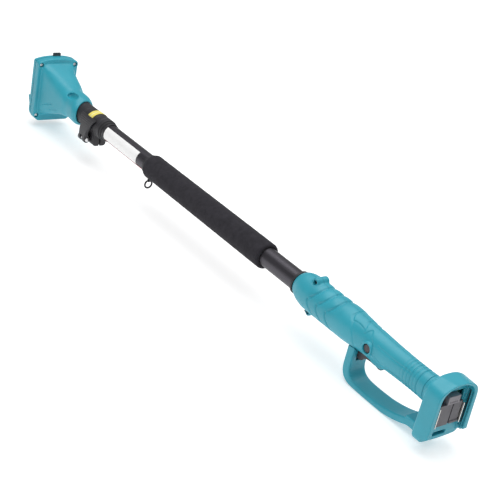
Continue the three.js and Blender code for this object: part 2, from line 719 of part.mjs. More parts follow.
// ---- head -----------------------------------------------------------------------------------------------
function flangeOutline() {
  const half = FLANGE_HALF_WIDTH;
  const shape = new THREE.Shape();
  shape.moveTo(-half, -44);
  shape.quadraticCurveTo(-half, -50, -half + 3.5, -55);
  shape.quadraticCurveTo(-half + 8, FLANGE_BOTTOM, -half + 14, FLANGE_BOTTOM);
  shape.lineTo(half - 14, FLANGE_BOTTOM);
  shape.quadraticCurveTo(half - 8, FLANGE_BOTTOM, half - 3.5, -55);
  shape.quadraticCurveTo(half, -50, half, -44);
  shape.lineTo(half, FLANGE_CORNER_TOP - 5);
  shape.quadraticCurveTo(half, FLANGE_CORNER_TOP, half - 6, FLANGE_CORNER_TOP + 1);
  shape.quadraticCurveTo(half / 2, FLANGE_TOP, 0, FLANGE_TOP);
  shape.quadraticCurveTo(-half / 2, FLANGE_TOP, -half + 6, FLANGE_CORNER_TOP + 1);
  shape.quadraticCurveTo(-half, FLANGE_CORNER_TOP, -half, FLANGE_CORNER_TOP - 5);
  return shape;
}

const headScrewPlaces = SCREW_Z.flatMap((z) => [[-SCREW_Y, z], [SCREW_Y, z]]);

function headShell() {
  const flange = alongX(flangeOutline(), [FLANGE_SEAM_X, FLANGE_REAR_X], { bevel: 1.6, segments: 6 });
  const skin = joined(loft(HEAD_STATIONS, 0, 32), flange);
  const hollowStations = HEAD_STATIONS.slice(3).map((station) => [...station]);
  hollowStations[hollowStations.length - 1][0] = FLANGE_SEAM_X - 1;
  hollowStations[0][0] = -1024;
  const socketBore = rodX(INNER_R + GAP, [-1060, -1000], { sides: 24 });
  const socket = cut(rodX(19, [-1058, -1010], { sides: 20 }), socketBore);
  const hollow = loft(hollowStations, HEAD_WALL, 20);
  const rimHollow = box([FLANGE_SEAM_X - 1, -1132], [-33, 33], [-55, 56]);
  const bore = rodX(INNER_R + GAP, [-1053, NECK_X + 1], { sides: 24 });
  const holes = headScrewPlaces.flatMap(([y, z]) => [
    rodX(4.4, [FLANGE_REAR_X - 5, -1110], { y, z, sides: 14 }),
    rodX(2.2, [FLANGE_SEAM_X - 1, -1120], { y, z, sides: 8 }),
  ]);
  const thumbHollow = new THREE.SphereGeometry(1, 14, 8);
  const tilt = THREE.MathUtils.degToRad(31);
  thumbHollow.scale(16, 8.5, 4.5).rotateX(tilt);
  thumbHollow.translate(-1031, -31 * Math.sin(tilt), 31 * Math.cos(tilt));
  const shell = joined(cut(skin, hollow, rimHollow, ...holes), socket);
  const body = cut(shell, bore, solid(thumbHollow));
  return node('head_shell', body, material(TEAL, 0.45, 0));
}

function headFrontPlate() {
  const plate = alongX(flangeOutline(), [FLANGE_FRONT_X, FLANGE_SEAM_X - GAP], { bevel: 1, segments: 6 });
  const lug = (side) => {
    const fin = polygon([[FLANGE_FRONT_X - 9, -19], [FLANGE_FRONT_X + 1, -17], [FLANGE_FRONT_X + 1, -41]]);
    return alongY(fin, side < 0 ? [-41.5, -38.5] : [38.5, 41.5]);
  };
  const screwPilots = headScrewPlaces.map(([y, z]) => rodX(2.2, [-1149, -1140], { y, z, sides: 8 }));
  const tabSlot = box([TAB_X[0] - GAP, TAB_X[1] + GAP], [TAB_Y[0] - GAP, TAB_Y[1] + GAP], [40, 80]);
  const hookWindow = box([-1152, TAB_X[0]], [-1.4, 9.4], [44.6, 56.4]);
  const body = cut(joined(plate, lug(-1), lug(1)), ...screwPilots, tabSlot, hookWindow);
  return node('head_front_plate', body, material(TEAL, 0.45, 0));
}

// The tool side: a block shaped like a slide-on battery, with rails and two contact slots.
function toolAdapter() {
  const front = ADAPTER_FRONT_X;
  const back = FLANGE_FRONT_X - GAP;
  const outline = polygon([[-28, -48], [28, -48], [28, 34], [20, 43], [-20, 43], [-28, 34]]);
  const block = alongX(outline, [front, back], { bevel: 1 });
  const rails = [[-30, -25], [25, 30]].map((y) => box([-1159, -1154], y, [-60, 60]));
  const slot = (y) => box([front - 1, -1153], [y - 1.6, y + 1.6], [-8, 30]);
  const body = cut(block, ...rails, slot(-17), slot(17), box([front - 1, -1158], [-9, 9], [4, 30]));
  const contact = (y) => box([-1163, -1153.3], [y - 1.2, y + 1.2], [-4, 26]);
  return [
    node('tool_adapter', body, material(BLACK_PLASTIC, 0.5, 0)),
    node('adapter_contact_left', contact(-17), material(STEEL, 0.3, 1)),
    node('adapter_contact_right', contact(17), material(STEEL, 0.3, 1)),
  ];
}

function headScrews() {
  const names = ['top_left', 'top_right', 'bottom_left', 'bottom_right'];
  return headScrewPlaces.map(([y, z], i) => {
    const seat = FLANGE_REAR_X - 5;
    const head = rodX(3.9, [seat + GAP, seat + 3.4], { y, z, sides: 14 });
    const shank = rodX(1.8, [-1147, seat + 1], { y, z, sides: 8 });
    const slot = box([seat + 2.2, seat + 5], [y - 0.6, y + 0.6], [z - 5, z + 5]);
    return node(`head_screw_${names[i]}`, cut(joined(head, shank), slot), material(STEEL, 0.25, 1));
  });
}

function latchTab() {
  const middle = (TAB_Y[0] + TAB_Y[1]) / 2;
  const plate = box(TAB_X, TAB_Y, TAB_Z);
  const hook = alongY(
    polygon([[-1154, 50.6], [-1149.5 + 1, 49.4], [-1148, 49.4], [-1148, 55.4], [-1149, 55.4]]),
    [middle - 4, middle + 4],
  );
  const x = (TAB_X[0] + TAB_X[1]) / 2;
  const at = [x, middle, 40.8];
  const spring = coil({ at, axis: 'z', length: 4.4, radius: 0.9, wire: 0.25, turns: 3 });
  return [
    node('latch_tab', joined(plate, hook), material(BLACK_PLASTIC, 0.5, 0)),
    node('latch_spring', spring, material(STEEL, 0.3, 1)),
  ];
}

function neckSleeve() {
  const front = NECK_X + GAP;
  const rear = COLLAR_X[0] - GAP;
  const body = turned([
    [front, INNER_R + GAP],
    [front, 20.2],
    [rear - 1.2, 20.2],
    [rear, 19.2],
    [rear, INNER_R + GAP],
  ]);
  return node('neck_sleeve', body, material(BLACK_PLASTIC, 0.65, 0));
}

// ---- assembly ---------------------------------------------------------------------------------------------
const pole = new THREE.Group();
pole.add(
  ...tubes(),
  lead(),
  foamGrip(),
  ...strapHanger(),
  tubeLabel(),
  ...handleShells(),
  handGuard(),
  batteryHousing(),
  ...terminals(),
  ...triggerGroup(),
  ...lockOff(),
  clampCollar(),
  clampLever(),
  ...clampHardware(),
  collarLabel(),
  headShell(),
  headFrontPlate(),
  ...toolAdapter(),
  ...headScrews(),
  ...latchTab(),
  neckSleeve(),
);
pole.position.set(-ADAPTER_FRONT_X / 2, 0, -GUARD_BOTTOM);

const model = new THREE.Group();
model.add(pole);
model.updateMatrixWorld(true);

export default model;
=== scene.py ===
"""Looks for the telescopic battery pole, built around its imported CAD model.

Shapes are laid out in millimetres in the pole frame: x = 0 at the rear rim of the battery housing,
y = z = 0 on the tubes' axis, +X towards the rear. to_row() moves them to the row frame.
"""
import json
import math

import bmesh
import bpy
import numpy as np
import openvdb
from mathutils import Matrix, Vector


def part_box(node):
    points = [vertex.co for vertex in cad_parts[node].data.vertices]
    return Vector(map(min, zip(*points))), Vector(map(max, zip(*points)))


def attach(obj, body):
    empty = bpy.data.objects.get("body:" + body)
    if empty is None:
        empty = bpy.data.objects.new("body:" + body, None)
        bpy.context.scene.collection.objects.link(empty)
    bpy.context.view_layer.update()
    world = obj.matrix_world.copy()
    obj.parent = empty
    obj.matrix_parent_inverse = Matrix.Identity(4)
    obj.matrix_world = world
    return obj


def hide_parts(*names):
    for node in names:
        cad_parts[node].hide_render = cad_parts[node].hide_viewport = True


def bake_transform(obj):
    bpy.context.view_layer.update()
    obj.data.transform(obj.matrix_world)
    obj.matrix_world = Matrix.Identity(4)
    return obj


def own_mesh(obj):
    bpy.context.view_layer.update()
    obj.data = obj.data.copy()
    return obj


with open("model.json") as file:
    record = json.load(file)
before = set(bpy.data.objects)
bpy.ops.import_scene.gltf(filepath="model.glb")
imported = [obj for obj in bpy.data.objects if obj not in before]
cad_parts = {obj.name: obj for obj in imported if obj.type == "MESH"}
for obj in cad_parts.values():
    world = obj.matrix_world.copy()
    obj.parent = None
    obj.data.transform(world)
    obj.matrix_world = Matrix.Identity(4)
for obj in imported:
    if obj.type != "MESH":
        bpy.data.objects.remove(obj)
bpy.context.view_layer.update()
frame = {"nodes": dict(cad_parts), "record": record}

MM = 0.001
tube_low, tube_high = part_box("outer_tube")
housing_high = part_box("battery_housing")[1]
ORIGIN = np.array([housing_high.x, 0.0, (tube_low.z + tube_high.z) / 2])

# Sizes that several pieces share, in millimetres.
GAP = 0.3
TUBE_RADIUS = 16
TUBE_FRONT = -962
TUBE_REAR = -212
SLEEVE_BORE = TUBE_RADIUS + GAP  # what fits round the outer tube
CHANNEL = 14.4  # the inner tube's way through collar, neck sleeve and head
PIN_RADIUS = 2


def to_row(points):
    """Pole frame, in millimetres, to row frame, in metres."""
    return np.asarray(points, float) * MM + ORIGIN


# ---- camera, light and floor ----
CAMERA_AT = (1.3087, -1.0448, 0.8306)
CAMERA_TURN = (63.699, -11.0, 53.985)
CAMERA_LENS = 80.2
SKY_COLOUR = (0.985, 0.99, 1.0, 1)
SKY_STRENGTH = 0.34
# Soft lights: name, place, the point that it faces, size in metres, power in watts.
LIGHTS = (
    ("key", (0.1, 0.1, 2.4), (0, 0, 0), (3.6, 3.0), 78),
    ("fill", (1.4, -2.0, 1.3), (0, 0, 0), (1.6, 1.6), 5),
    ("rim", (-1.6, 1.2, 1.3), (-0.2, 0, 0), (0.6, 1.8), 24),
)
FLOOR_REACH = 30
FLOOR_TONES = (0.74, 0.77)
FLOOR_GLOW = 0.46


def add_camera():
    camera = bpy.data.objects.new("camera", bpy.data.cameras.new("camera"))
    bpy.context.scene.collection.objects.link(camera)
    camera.location = CAMERA_AT
    camera.rotation_euler = [math.radians(a) for a in CAMERA_TURN]
    camera.data.lens = CAMERA_LENS
    camera.data.clip_start = 0.02
    bpy.context.scene.camera = camera


def add_area_light(name, at, look_at, size, power):
    light = bpy.data.objects.new(name, bpy.data.lights.new(name, "AREA"))
    bpy.context.scene.collection.objects.link(light)
    light.data.shape = "RECTANGLE"
    light.data.size, light.data.size_y = size
    light.data.energy = power
    light.location = at
    direction = np.array(look_at) - np.array(at)
    yaw = math.atan2(direction[0], -direction[1])
    pitch = math.atan2(math.hypot(direction[0], direction[1]), -direction[2])
    light.rotation_euler = (pitch, 0, yaw)


def add_studio():
    world = bpy.data.worlds.new("studio")
    bpy.context.scene.world = world
    world.use_nodes = True
    background = world.node_tree.nodes["Background"]
    set_inputs(background, {"Color": SKY_COLOUR, "Strength": SKY_STRENGTH})
    for light in LIGHTS:
        add_area_light(*light)
    bpy.context.scene.view_settings.view_transform = "Standard"


# ---- node materials ----
GRAIN_SCALE = 1400
GRAIN_RELIEF = 0.00006
PORE_SCALE = 700
FILM_ROUGHNESS = 0.35


def new_material(name):
    made = bpy.data.materials.new(name)
    made.use_nodes = True
    return made, made.node_tree, made.node_tree.nodes["Principled BSDF"]


def set_inputs(node, values):
    for name, value in values.items():
        node.inputs[name].default_value = value


def object_coordinates(tree, scale=(1, 1, 1)):
    """Object coordinates in metres, stretched by a scale."""
    source = tree.nodes.new("ShaderNodeTexCoord")
    mapping = tree.nodes.new("ShaderNodeMapping")
    set_inputs(mapping, {"Scale": scale})
    tree.links.new(source.outputs["Object"], mapping.inputs["Vector"])
    return mapping.outputs["Vector"]


def noise(tree, vector, scale, detail=3.0, roughness=0.5):
    node = tree.nodes.new("ShaderNodeTexNoise")
    set_inputs(node, {"Scale": scale, "Detail": detail, "Roughness": roughness})
    tree.links.new(vector, node.inputs["Vector"])
    return node.outputs["Fac"]


def ramp(tree, value, stops):
    """stops: (position, colour) pairs."""
    node = tree.nodes.new("ShaderNodeValToRGB")
    elements = node.color_ramp.elements
    while len(elements) < len(stops):
        elements.new(0.5)
    for element, (position, colour) in zip(elements, stops):
        element.position = position
        element.color = (*colour, 1)
    tree.links.new(value, node.inputs["Fac"])
    return node.outputs["Color"]


def map_range(tree, value, low, high, out_low, out_high):
    node = tree.nodes.new("ShaderNodeMapRange")
    for socket, number in zip(node.inputs[1:5], (low, high, out_low, out_high)):
        socket.default_value = number
    tree.links.new(value, node.inputs["Value"])
    return node.outputs["Result"]


def mix_colours(tree, factor, first, second):
    node = tree.nodes.new("ShaderNodeMix")
    node.data_type = "RGBA"
    for socket, value in ((node.inputs[0], factor), (node.inputs[6], first), (node.inputs[7], second)):
        if isinstance(value, bpy.types.NodeSocket):
            tree.links.new(value, socket)
        else:
            socket.default_value = (*value, 1)
    return node.outputs[2]


def bump(tree, shader, height, strength, distance, under=None):
    node = tree.nodes.new("ShaderNodeBump")
    set_inputs(node, {"Strength": strength, "Distance": distance})
    tree.links.new(height, node.inputs["Height"])
    if under is not None:
        tree.links.new(under, node.inputs["Normal"])
    tree.links.new(node.outputs["Normal"], shader.inputs["Normal"])
    return node.outputs["Normal"]


def tinted(colour, factor):
    return tuple(min(1.0, c * factor) for c in colour)


def uneven_roughness(tree, shader, pattern, roughness, below, above):
    """Lets a roughness wander with a pattern, from below it to above it."""
    rough = map_range(tree, pattern, 0.3, 0.7, roughness - below, roughness + above)
    tree.links.new(rough, shader.inputs["Roughness"])


def moulded_plastic(name, colour, roughness, wear=0.12):
    """Moulded plastic: fine grain, slow changes of tint and paler worn edges."""
    made, tree, shader = new_material(name)
    place = object_coordinates(tree)
    slow = noise(tree, place, 22, 3)
    base = ramp(tree, slow, [(0.3, tinted(colour, 0.93)), (0.7, tinted(colour, 1.06))])
    speckle = noise(tree, place, GRAIN_SCALE, 2, 0.6)
    dark = map_range(tree, speckle, 0.35, 0.75, 0.0, 0.16)
    base = mix_colours(tree, dark, base, tinted(colour, 0.72))
    edge = tree.nodes.new("ShaderNodeNewGeometry").outputs["Pointiness"]
    worn_colour = tuple(min(1.0, c * 0.8 + 0.16) for c in colour)
    base = mix_colours(tree, map_range(tree, edge, 0.53, 0.62, 0.0, wear), base, worn_colour)
    tree.links.new(base, shader.inputs["Base Color"])
    uneven_roughness(tree, shader, noise(tree, place, 60, 4), roughness, 0.06, 0.07)
    under = bump(tree, shader, speckle, 0.35, GRAIN_RELIEF)
    bump(tree, shader, noise(tree, place, 7, 2), 0.15, 0.0006, under)
    return made


def brushed_metal(name, colour, roughness, grain=(12, 900, 900), streak=0.2):
    """Metal with fine streaks, long in the direction where grain is small."""
    made, tree, shader = new_material(name)
    set_inputs(shader, {"Metallic": 1.0})
    streaks = noise(tree, object_coordinates(tree, grain), 1, 4, 0.6)
    base = ramp(tree, streaks, [(0.25, tinted(colour, 1 - streak)), (0.75, tinted(colour, 1 + streak))])
    tree.links.new(base, shader.inputs["Base Color"])
    uneven_roughness(tree, shader, streaks, roughness, 0.07, 0.08)
    bump(tree, shader, streaks, 0.12, 0.00003)
    return made


def closed_cell_foam(name, colour):
    """Foam rubber: fine open pores, mottled tone and a dry surface."""
    made, tree, shader = new_material(name)
    place = object_coordinates(tree)
    cells = tree.nodes.new("ShaderNodeTexVoronoi")
    set_inputs(cells, {"Scale": PORE_SCALE})
    tree.links.new(place, cells.inputs["Vector"])
    pores = cells.outputs["Distance"]
    mottle = noise(tree, place, 90, 5, 0.7)
    base = ramp(tree, mottle, [(0.3, tinted(colour, 0.75)), (0.72, tinted(colour, 1.35))])
    base = mix_colours(tree, map_range(tree, pores, 0.0, 0.35, 0.55, 0.0), base, tinted(colour, 0.45))
    tree.links.new(base, shader.inputs["Base Color"])
    set_inputs(shader, {"Roughness": 0.93, "Specular IOR Level": 0.12})
    set_inputs(shader, {"Sheen Weight": 0.04, "Sheen Roughness": 0.6})
    under = bump(tree, shader, pores, 0.5, 0.00025)
    bump(tree, shader, noise(tree, place, 30, 3), 0.3, 0.0008, under)
    return made


def printed_film(name, colour):
    """Printed film: a faint emboss, slight scuffs and an uneven gloss."""
    made, tree, shader = new_material(name)
    place = object_coordinates(tree)
    scuffs = noise(tree, object_coordinates(tree, (40, 260, 260)), 1, 5, 0.65)
    base = ramp(tree, scuffs, [(0.28, tinted(colour, 0.9)), (0.5, colour), (0.8, tinted(colour, 1.03))])
    tree.links.new(base, shader.inputs["Base Color"])
    uneven_roughness(tree, shader, noise(tree, place, 120, 3), FILM_ROUGHNESS, 0.08, 0.1)
    set_inputs(shader, {"Coat Weight": 0.2, "Coat Roughness": 0.25})
    bump(tree, shader, noise(tree, place, 500, 2), 0.1, 0.00004)
    return made


def pale_floor():
    made, tree, shader = new_material("floor_paper")
    paper = noise(tree, object_coordinates(tree), 3, 4)
    darker, lighter = ((tone, tone, tone) for tone in FLOOR_TONES)
    tree.links.new(ramp(tree, paper, [(0.3, darker), (0.7, lighter)]), shader.inputs["Base Color"])
    set_inputs(shader, {"Roughness": 0.9, "Specular IOR Level": 0.1})
    set_inputs(shader, {"Emission Color": (1, 1, 1, 1), "Emission Strength": FLOOR_GLOW})
    return made


# Base colour, roughness, wear.
PLASTICS = {
    "teal_shell": ((0.026, 0.335, 0.43), 0.4),
    "black_plastic": ((0.019, 0.018, 0.022), 0.5, 0.16),
    "lever_plastic": ((0.031, 0.03, 0.034), 0.46),
    "terminal_plastic": ((0.066, 0.062, 0.074), 0.45),
    "connector_plastic": ((0.19, 0.18, 0.2), 0.45),
    "button_plastic": ((0.05, 0.044, 0.05), 0.42),
    "latch_plastic": ((0.028, 0.042, 0.05), 0.4),
    "dark_rubber": ((0.012, 0.012, 0.014), 0.6, 0.05),
}
# Colour, roughness, grain and streak.
METALS = {
    "dark_tube": ((0.084, 0.08, 0.091), 0.4),
    "bright_tube": ((0.62, 0.62, 0.64), 0.3),
    "steel": ((0.74, 0.74, 0.75), 0.26, (500, 500, 500), 0.1),
    "dark_steel": ((0.05, 0.05, 0.055), 0.35, (400, 400, 400)),
    "contact_metal": ((0.78, 0.77, 0.73), 0.2, (600, 600, 30), 0.1),
}
FILMS = {
    "white_label": (0.93, 0.93, 0.925),
    "red_print": (0.5, 0.04, 0.05),
    "yellow_label": (0.88, 0.76, 0.16),
    "yellow_stripe": (0.9, 0.87, 0.5),
    "circuit_board": (0.02, 0.12, 0.06),
}
LOOKS = {name: moulded_plastic(name, *values) for name, values in PLASTICS.items()}
LOOKS |= {name: brushed_metal(name, *values) for name, values in METALS.items()}
LOOKS |= {name: printed_film(name, colour) for name, colour in FILMS.items()}
LOOKS["grip_foam"] = closed_cell_foam("grip_foam", (0.026, 0.0245, 0.03))

# ---- making pieces ----
BODY_OF = {n: body for body, nodes in frame["record"]["behaviour"]["bodies"].items() for n in nodes}
SLOT_OF = {s["node"]: s["material_slot"] for s in frame["record"]["subparts"]}
SHARP_EDGE = 35  # degrees


def raw_mesh(name, points, faces):
    """A mesh object in the row frame from pole-frame points and faces of any size."""
    mesh = bpy.data.meshes.new(name)
    mesh.from_pydata(to_row(points).tolist(), [], faces)
    mesh.validate()
    made = bpy.data.objects.new(name, mesh)
    bpy.context.scene.collection.objects.link(made)
    return made


def finish_piece(made, node, look=None, smooth=True):
    """Gives a piece the material and body of its CAD node."""
    if smooth:
        made.data.shade_smooth()
    slot = SLOT_OF[node]
    made.data.materials.clear()
    made.data.materials.append(LOOKS[look or slot])
    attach(made, BODY_OF[node])
    return made


def stand_for(made, node, look=None, smooth=True):
    finish_piece(made, node, look, smooth)
    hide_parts(node)
    return made


def soften(made, width, segments=3):
    """Rounds every sharp edge, and keeps flat faces flat in the shading."""
    bevel = made.modifiers.new("rounded edges", "BEVEL")
    bevel.width = width * MM
    bevel.segments = segments
    bevel.limit_method = "ANGLE"
    bevel.angle_limit = math.radians(SHARP_EDGE)
    bevel.use_clamp_overlap = True
    made.modifiers.new("even normals", "WEIGHTED_NORMAL").keep_sharp = True
    return made


def settle(made):
    """Applies the piece's modifiers."""
    bpy.context.view_layer.update()
    graph = bpy.context.evaluated_depsgraph_get()
    mesh = bpy.data.meshes.new_from_object(made.evaluated_get(graph))
    made.modifiers.clear()
    old = made.data
    made.data = mesh
    bpy.data.meshes.remove(old)
    return made


def combine(made, operation, others):
    """Cuts others out of a piece or joins them to it, and removes them."""
    for other in others:
        modifier = made.modifiers.new("combine", "BOOLEAN")
        modifier.operation = operation
        modifier.solver = "EXACT"
        modifier.object = other
    settle(made)
    for other in others:
        bpy.data.objects.remove(other)
    return made


def carve(made, *cutters):
    return combine(made, "DIFFERENCE", cutters)


def weld(made, *others):
    return combine(made, "UNION", others)


def path(start, *moves, steps=8):
    """Points along lines and quadratic arcs. A move is a point, or an arc's control and end."""
    points = [start]
    for move in moves:
        if not isinstance(move[0], tuple):
            points.append(move)
            continue
        ends = list(zip(points[-1], *move))
        for i in range(1, steps + 1):
            t = i / steps
            points.append(tuple((1 - t) ** 2 * a + 2 * t * (1 - t) * c + t * t * b for a, c, b in ends))
    return points


def mirrored(points):
    """Adds the mirror image of an open outline that starts and ends on u = 0."""
    return points + [(-u, v) for u, v in reversed(points) if abs(u) > 1e-6]


def tidy_mesh(made):
    """Merges doubled points and turns every face outwards."""
    mesh = bmesh.new()
    mesh.from_mesh(made.data)
    bmesh.ops.remove_doubles(mesh, verts=mesh.verts, dist=1e-7)
    bmesh.ops.recalc_face_normals(mesh, faces=mesh.faces)
    mesh.to_mesh(made.data)
    mesh.free()
    return made


def loft(name, rings, endless=True, closed=True):
    """A skin over rings of points: endless or with flat ends, its rings closed or open."""
    count = len(rings[0])
    faces = []
    for i in range(len(rings) if endless else len(rings) - 1):
        a, b = i * count, (i + 1) % len(rings) * count
        for j in range(count if closed else count - 1):
            k = (j + 1) % count
            faces.append([a + j, a + k, b + k, b + j])
    if not endless:
        last = (len(rings) - 1) * count
        faces.append(list(range(count)))
        faces.append([last + j for j in reversed(range(count))])
    return tidy_mesh(raw_mesh(name, [point for ring in rings for point in ring], faces))


def prism(name, outline, low, high, axis):
    """An outline swept along x (outline in y, z) or along y (outline in x, z)."""
    n = len(outline)
    area = sum(a[0] * b[1] - b[0] * a[1] for a, b in zip(outline, outline[1:] + outline[:1]))
    ring = outline if (area > 0) == (axis == "x") else outline[::-1]
    points = [(w, u, v) if axis == "x" else (u, w, v) for w in (low, high) for u, v in ring]
    faces = [list(range(n))[::-1], list(range(n, 2 * n))]
    faces += [[i, (i + 1) % n, (i + 1) % n + n, i + n] for i in range(n)]
    return raw_mesh(name, points, faces)


def block(name, x, y, z):
    return prism(name, [(y[0], z[0]), (y[1], z[0]), (y[1], z[1]), (y[0], z[1])], x[0], x[1], "x")


def turned(name, profile, axis="x", centre=(0, 0, 0), segments=96, closed=True):
    """A profile of (distance along, radius) turned about x or y, through a centre."""
    rings = []
    for i in range(segments):
        angle = 2 * math.pi * i / segments
        ring = []
        for along, radius in profile:
            u, v = radius * math.cos(angle), radius * math.sin(angle)
            offset = (along, u, v) if axis == "x" else (v, along, u)
            ring.append(tuple(c + o for c, o in zip(centre, offset)))
        rings.append(ring)
    return loft(name, rings, closed=closed)


def rod(name, radius, low, high, axis, centre, segments):
    profile = [(low, 0), (low, radius), (high, radius), (high, 0)]
    return turned(name, profile, axis, centre, segments, closed=False)


def pipe(name, outer, inner, low, high, segments=96):
    """A tube about the pole's axis."""
    return turned(name, [(low, inner), (low, outer), (high, outer), (high, inner)], segments=segments)


def coil(name, steps, axis, centre, radius, wire, around):
    """A wire wound round an axis; each step is a distance along it and an angle."""
    rings = []
    for along, angle in steps:
        ring = []
        for j in range(around):
            b = 2 * math.pi * j / around
            reach, rise = radius + wire * math.cos(b), along + wire * math.sin(b)
            u, v = reach * math.cos(angle), reach * math.sin(angle)
            offset = {"x": (rise, u, v), "y": (u, rise, v), "z": (u, v, rise)}[axis]
            ring.append(tuple(c + o for c, o in zip(centre, offset)))
        rings.append(ring)
    return loft(name, rings, endless=False)


def arc_patch(name, inner, outer, arc, x):
    """A thin sheet curved about the tube; arc in degrees above the right-hand side (+Y)."""
    steps = 40
    angles = [math.radians(arc[0] + (arc[1] - arc[0]) * i / steps) for i in range(steps + 1)]
    ring = [(outer * math.cos(a), outer * math.sin(a)) for a in angles]
    ring += [(inner * math.cos(a), inner * math.sin(a)) for a in reversed(angles)]
    return prism(name, ring, x[0], x[1], "x")


# ---- distance fields ----
FIELD_DEPTH = 3.0  # a field is kept this far from its surface, in mm


def field_grid(low, high, step):
    axes = [np.arange(a, b + step, step, dtype=np.float32) for a, b in zip(low, high)]
    return np.meshgrid(*axes, indexing="ij", sparse=True)


def union(a, b, k):
    """The smooth union of two distances, with a fillet of about k."""
    h = np.clip(0.5 + 0.5 * (b - a) / k, 0, 1)
    return b * (1 - h) + a * h - k * h * (1 - h)


def without(a, b, k):
    """a with b cut away, its edges rounded by about k."""
    return -union(-a, b, k)


def box_field(grid, x, y, z, radius=0.0):
    q = [
        np.abs(axis - (side[0] + side[1]) / 2) - ((side[1] - side[0]) / 2 - radius)
        for axis, side in zip(grid, (x, y, z))
    ]
    outside = np.sqrt(sum(np.maximum(part, 0) ** 2 for part in q))
    inside = np.minimum(np.maximum(np.maximum(q[0], q[1]), q[2]), 0)
    return outside + inside - radius


def swept(across, along, span, rounding):
    """A flat distance made solid over a span, with rounded ends."""
    across = across + rounding
    length = np.abs(along - (span[0] + span[1]) / 2) - (span[1] - span[0]) / 2 + rounding
    outside = np.hypot(np.maximum(across, 0), np.maximum(length, 0))
    return outside + np.minimum(np.maximum(across, length), 0) - rounding


def round_field(grid, axis, radius, span, centre=(0, 0, 0), rounding=0.0):
    """A cylinder along x or y, through a centre."""
    u, v = (1, 2) if axis == "x" else (0, 2)
    across = np.sqrt((grid[u] - centre[u]) ** 2 + (grid[v] - centre[v]) ** 2) - radius
    return swept(across, grid[0 if axis == "x" else 1], span, rounding)


def prism_field(grid, outline, span, axis, rounding):
    """An outline swept as in prism(), with rounded edges."""
    X, Y, Z = grid
    if axis == "x":
        return swept(outline_distance(Y, Z, outline), X, span, rounding)
    return swept(outline_distance(X, Z, outline), Y, span, rounding)


def segment_distance(u, v, start, end):
    """Squared distance in the plane to a segment."""
    (a, b), (c, d) = start, end
    e, g = c - a, d - b
    t = np.clip(((u - a) * e + (v - b) * g) / max(e * e + g * g, 1e-9), 0, 1)
    return (u - a - e * t) ** 2 + (v - b - g * t) ** 2


def line_distance(u, v, points):
    """Distance in the plane to an open line through points."""
    best = np.full(np.broadcast(u, v).shape, np.inf, np.float32)
    for start, end in zip(points, points[1:]):
        best = np.minimum(best, segment_distance(u, v, start, end))
    return np.sqrt(best)


def outline_distance(u, v, outline):
    """Signed distance in the plane to a closed outline, negative inside it."""
    closed = outline + outline[:1]
    inside = np.zeros(np.broadcast(u, v).shape, bool)
    for (a, b), (c, d) in zip(closed, closed[1:]):
        if abs(d - b) > 1e-9:
            crosses = (b > v) != (d > v)
            inside ^= crosses & (u < a + (v - b) * (c - a) / (d - b))
    return np.where(inside, -1, 1) * line_distance(u, v, closed)


def groove(body, distance, depth, width):
    """Lets the skin dip along a line."""
    return body + depth * np.exp(-((distance / width) ** 2))


def eased(x, xs, ys):
    """A monotone cubic through the points, without overshoot."""
    xs, ys = np.array(xs, float), np.array(ys, float)
    h, d = np.diff(xs), np.diff(ys) / np.diff(xs)
    slope = np.zeros(len(xs))
    for i in range(1, len(xs) - 1):
        if d[i - 1] * d[i] > 0:
            w1, w2 = 2 * h[i] + h[i - 1], h[i] + 2 * h[i - 1]
            slope[i] = (w1 + w2) / (w1 / d[i - 1] + w2 / d[i])
    slope[0], slope[-1] = d[0], d[-1]
    x = np.clip(x, xs[0], xs[-1])
    i = np.clip(np.searchsorted(xs, x, side="right") - 1, 0, len(h) - 1)
    t = (x - xs[i]) / h[i]
    return (
        (2 * t**3 - 3 * t**2 + 1) * ys[i]
        + (t**3 - 2 * t**2 + t) * h[i] * slope[i]
        + (3 * t**2 - 2 * t**3) * ys[i + 1]
        + (t**3 - t**2) * h[i] * slope[i + 1]
    )


def skin_field(grid, stations, inset=0.0):
    """A skin through sections (x, top, bottom, half width, squareness or 2), flat at both ends."""
    X, Y, Z = grid
    xs = [s[0] for s in stations]
    values = []
    for i in (1, 2, 3, 4):
        ys = [s[i] if len(s) > i else 2 for s in stations]
        values.append(eased(X.ravel(), xs, ys).reshape(X.shape).astype(np.float32))
    top, bottom, half, power = values
    height = np.where(Z > 0, top, bottom) - inset
    ratio = (np.abs(Y / (half - inset)) ** power + np.abs(Z / height) ** power) ** (1 / power)
    distance = np.hypot(Y, Z) * (1 - 1 / np.maximum(ratio, 0.05))
    return np.maximum(distance, np.maximum(xs[0] - X, X - xs[-1]))


def relaxed(points, quads):
    """Every point moved half way to the mean of its neighbours."""
    total = np.zeros_like(points)
    count = np.zeros(len(points))
    for k in range(4):
        a, b = quads[:, k], quads[:, (k + 1) % 4]
        np.add.at(total, a, points[b])
        np.add.at(count, a, 1)
    return points * 0.5 + total / np.maximum(count, 1)[:, None] * 0.5


def mesh_field(name, field, low, step):
    """The surface where a distance field is zero, as quads that face outwards."""
    volume = openvdb.FloatGrid(FIELD_DEPTH)
    kept = np.clip(field, -FIELD_DEPTH, FIELD_DEPTH)
    volume.copyFromArray(np.ascontiguousarray(kept, dtype=np.float32))
    points, quads = volume.convertToQuads(0.0)
    points = points.astype(float) * step + np.array(low)
    corners = points[quads]
    signed_volume = np.einsum("ij,ij->i", corners[:, 0], np.cross(corners[:, 1], corners[:, 2])).sum()
    if signed_volume < 0:
        quads = quads[:, ::-1]
    return raw_mesh(name, relaxed(points, quads), quads.tolist())


def sculpt(name, node, build, low, high, step):
    """A piece for a node, from a function that turns a grid into a distance field."""
    grid = field_grid(low, high, step)
    return stand_for(mesh_field(name, build(grid), low, step), node)


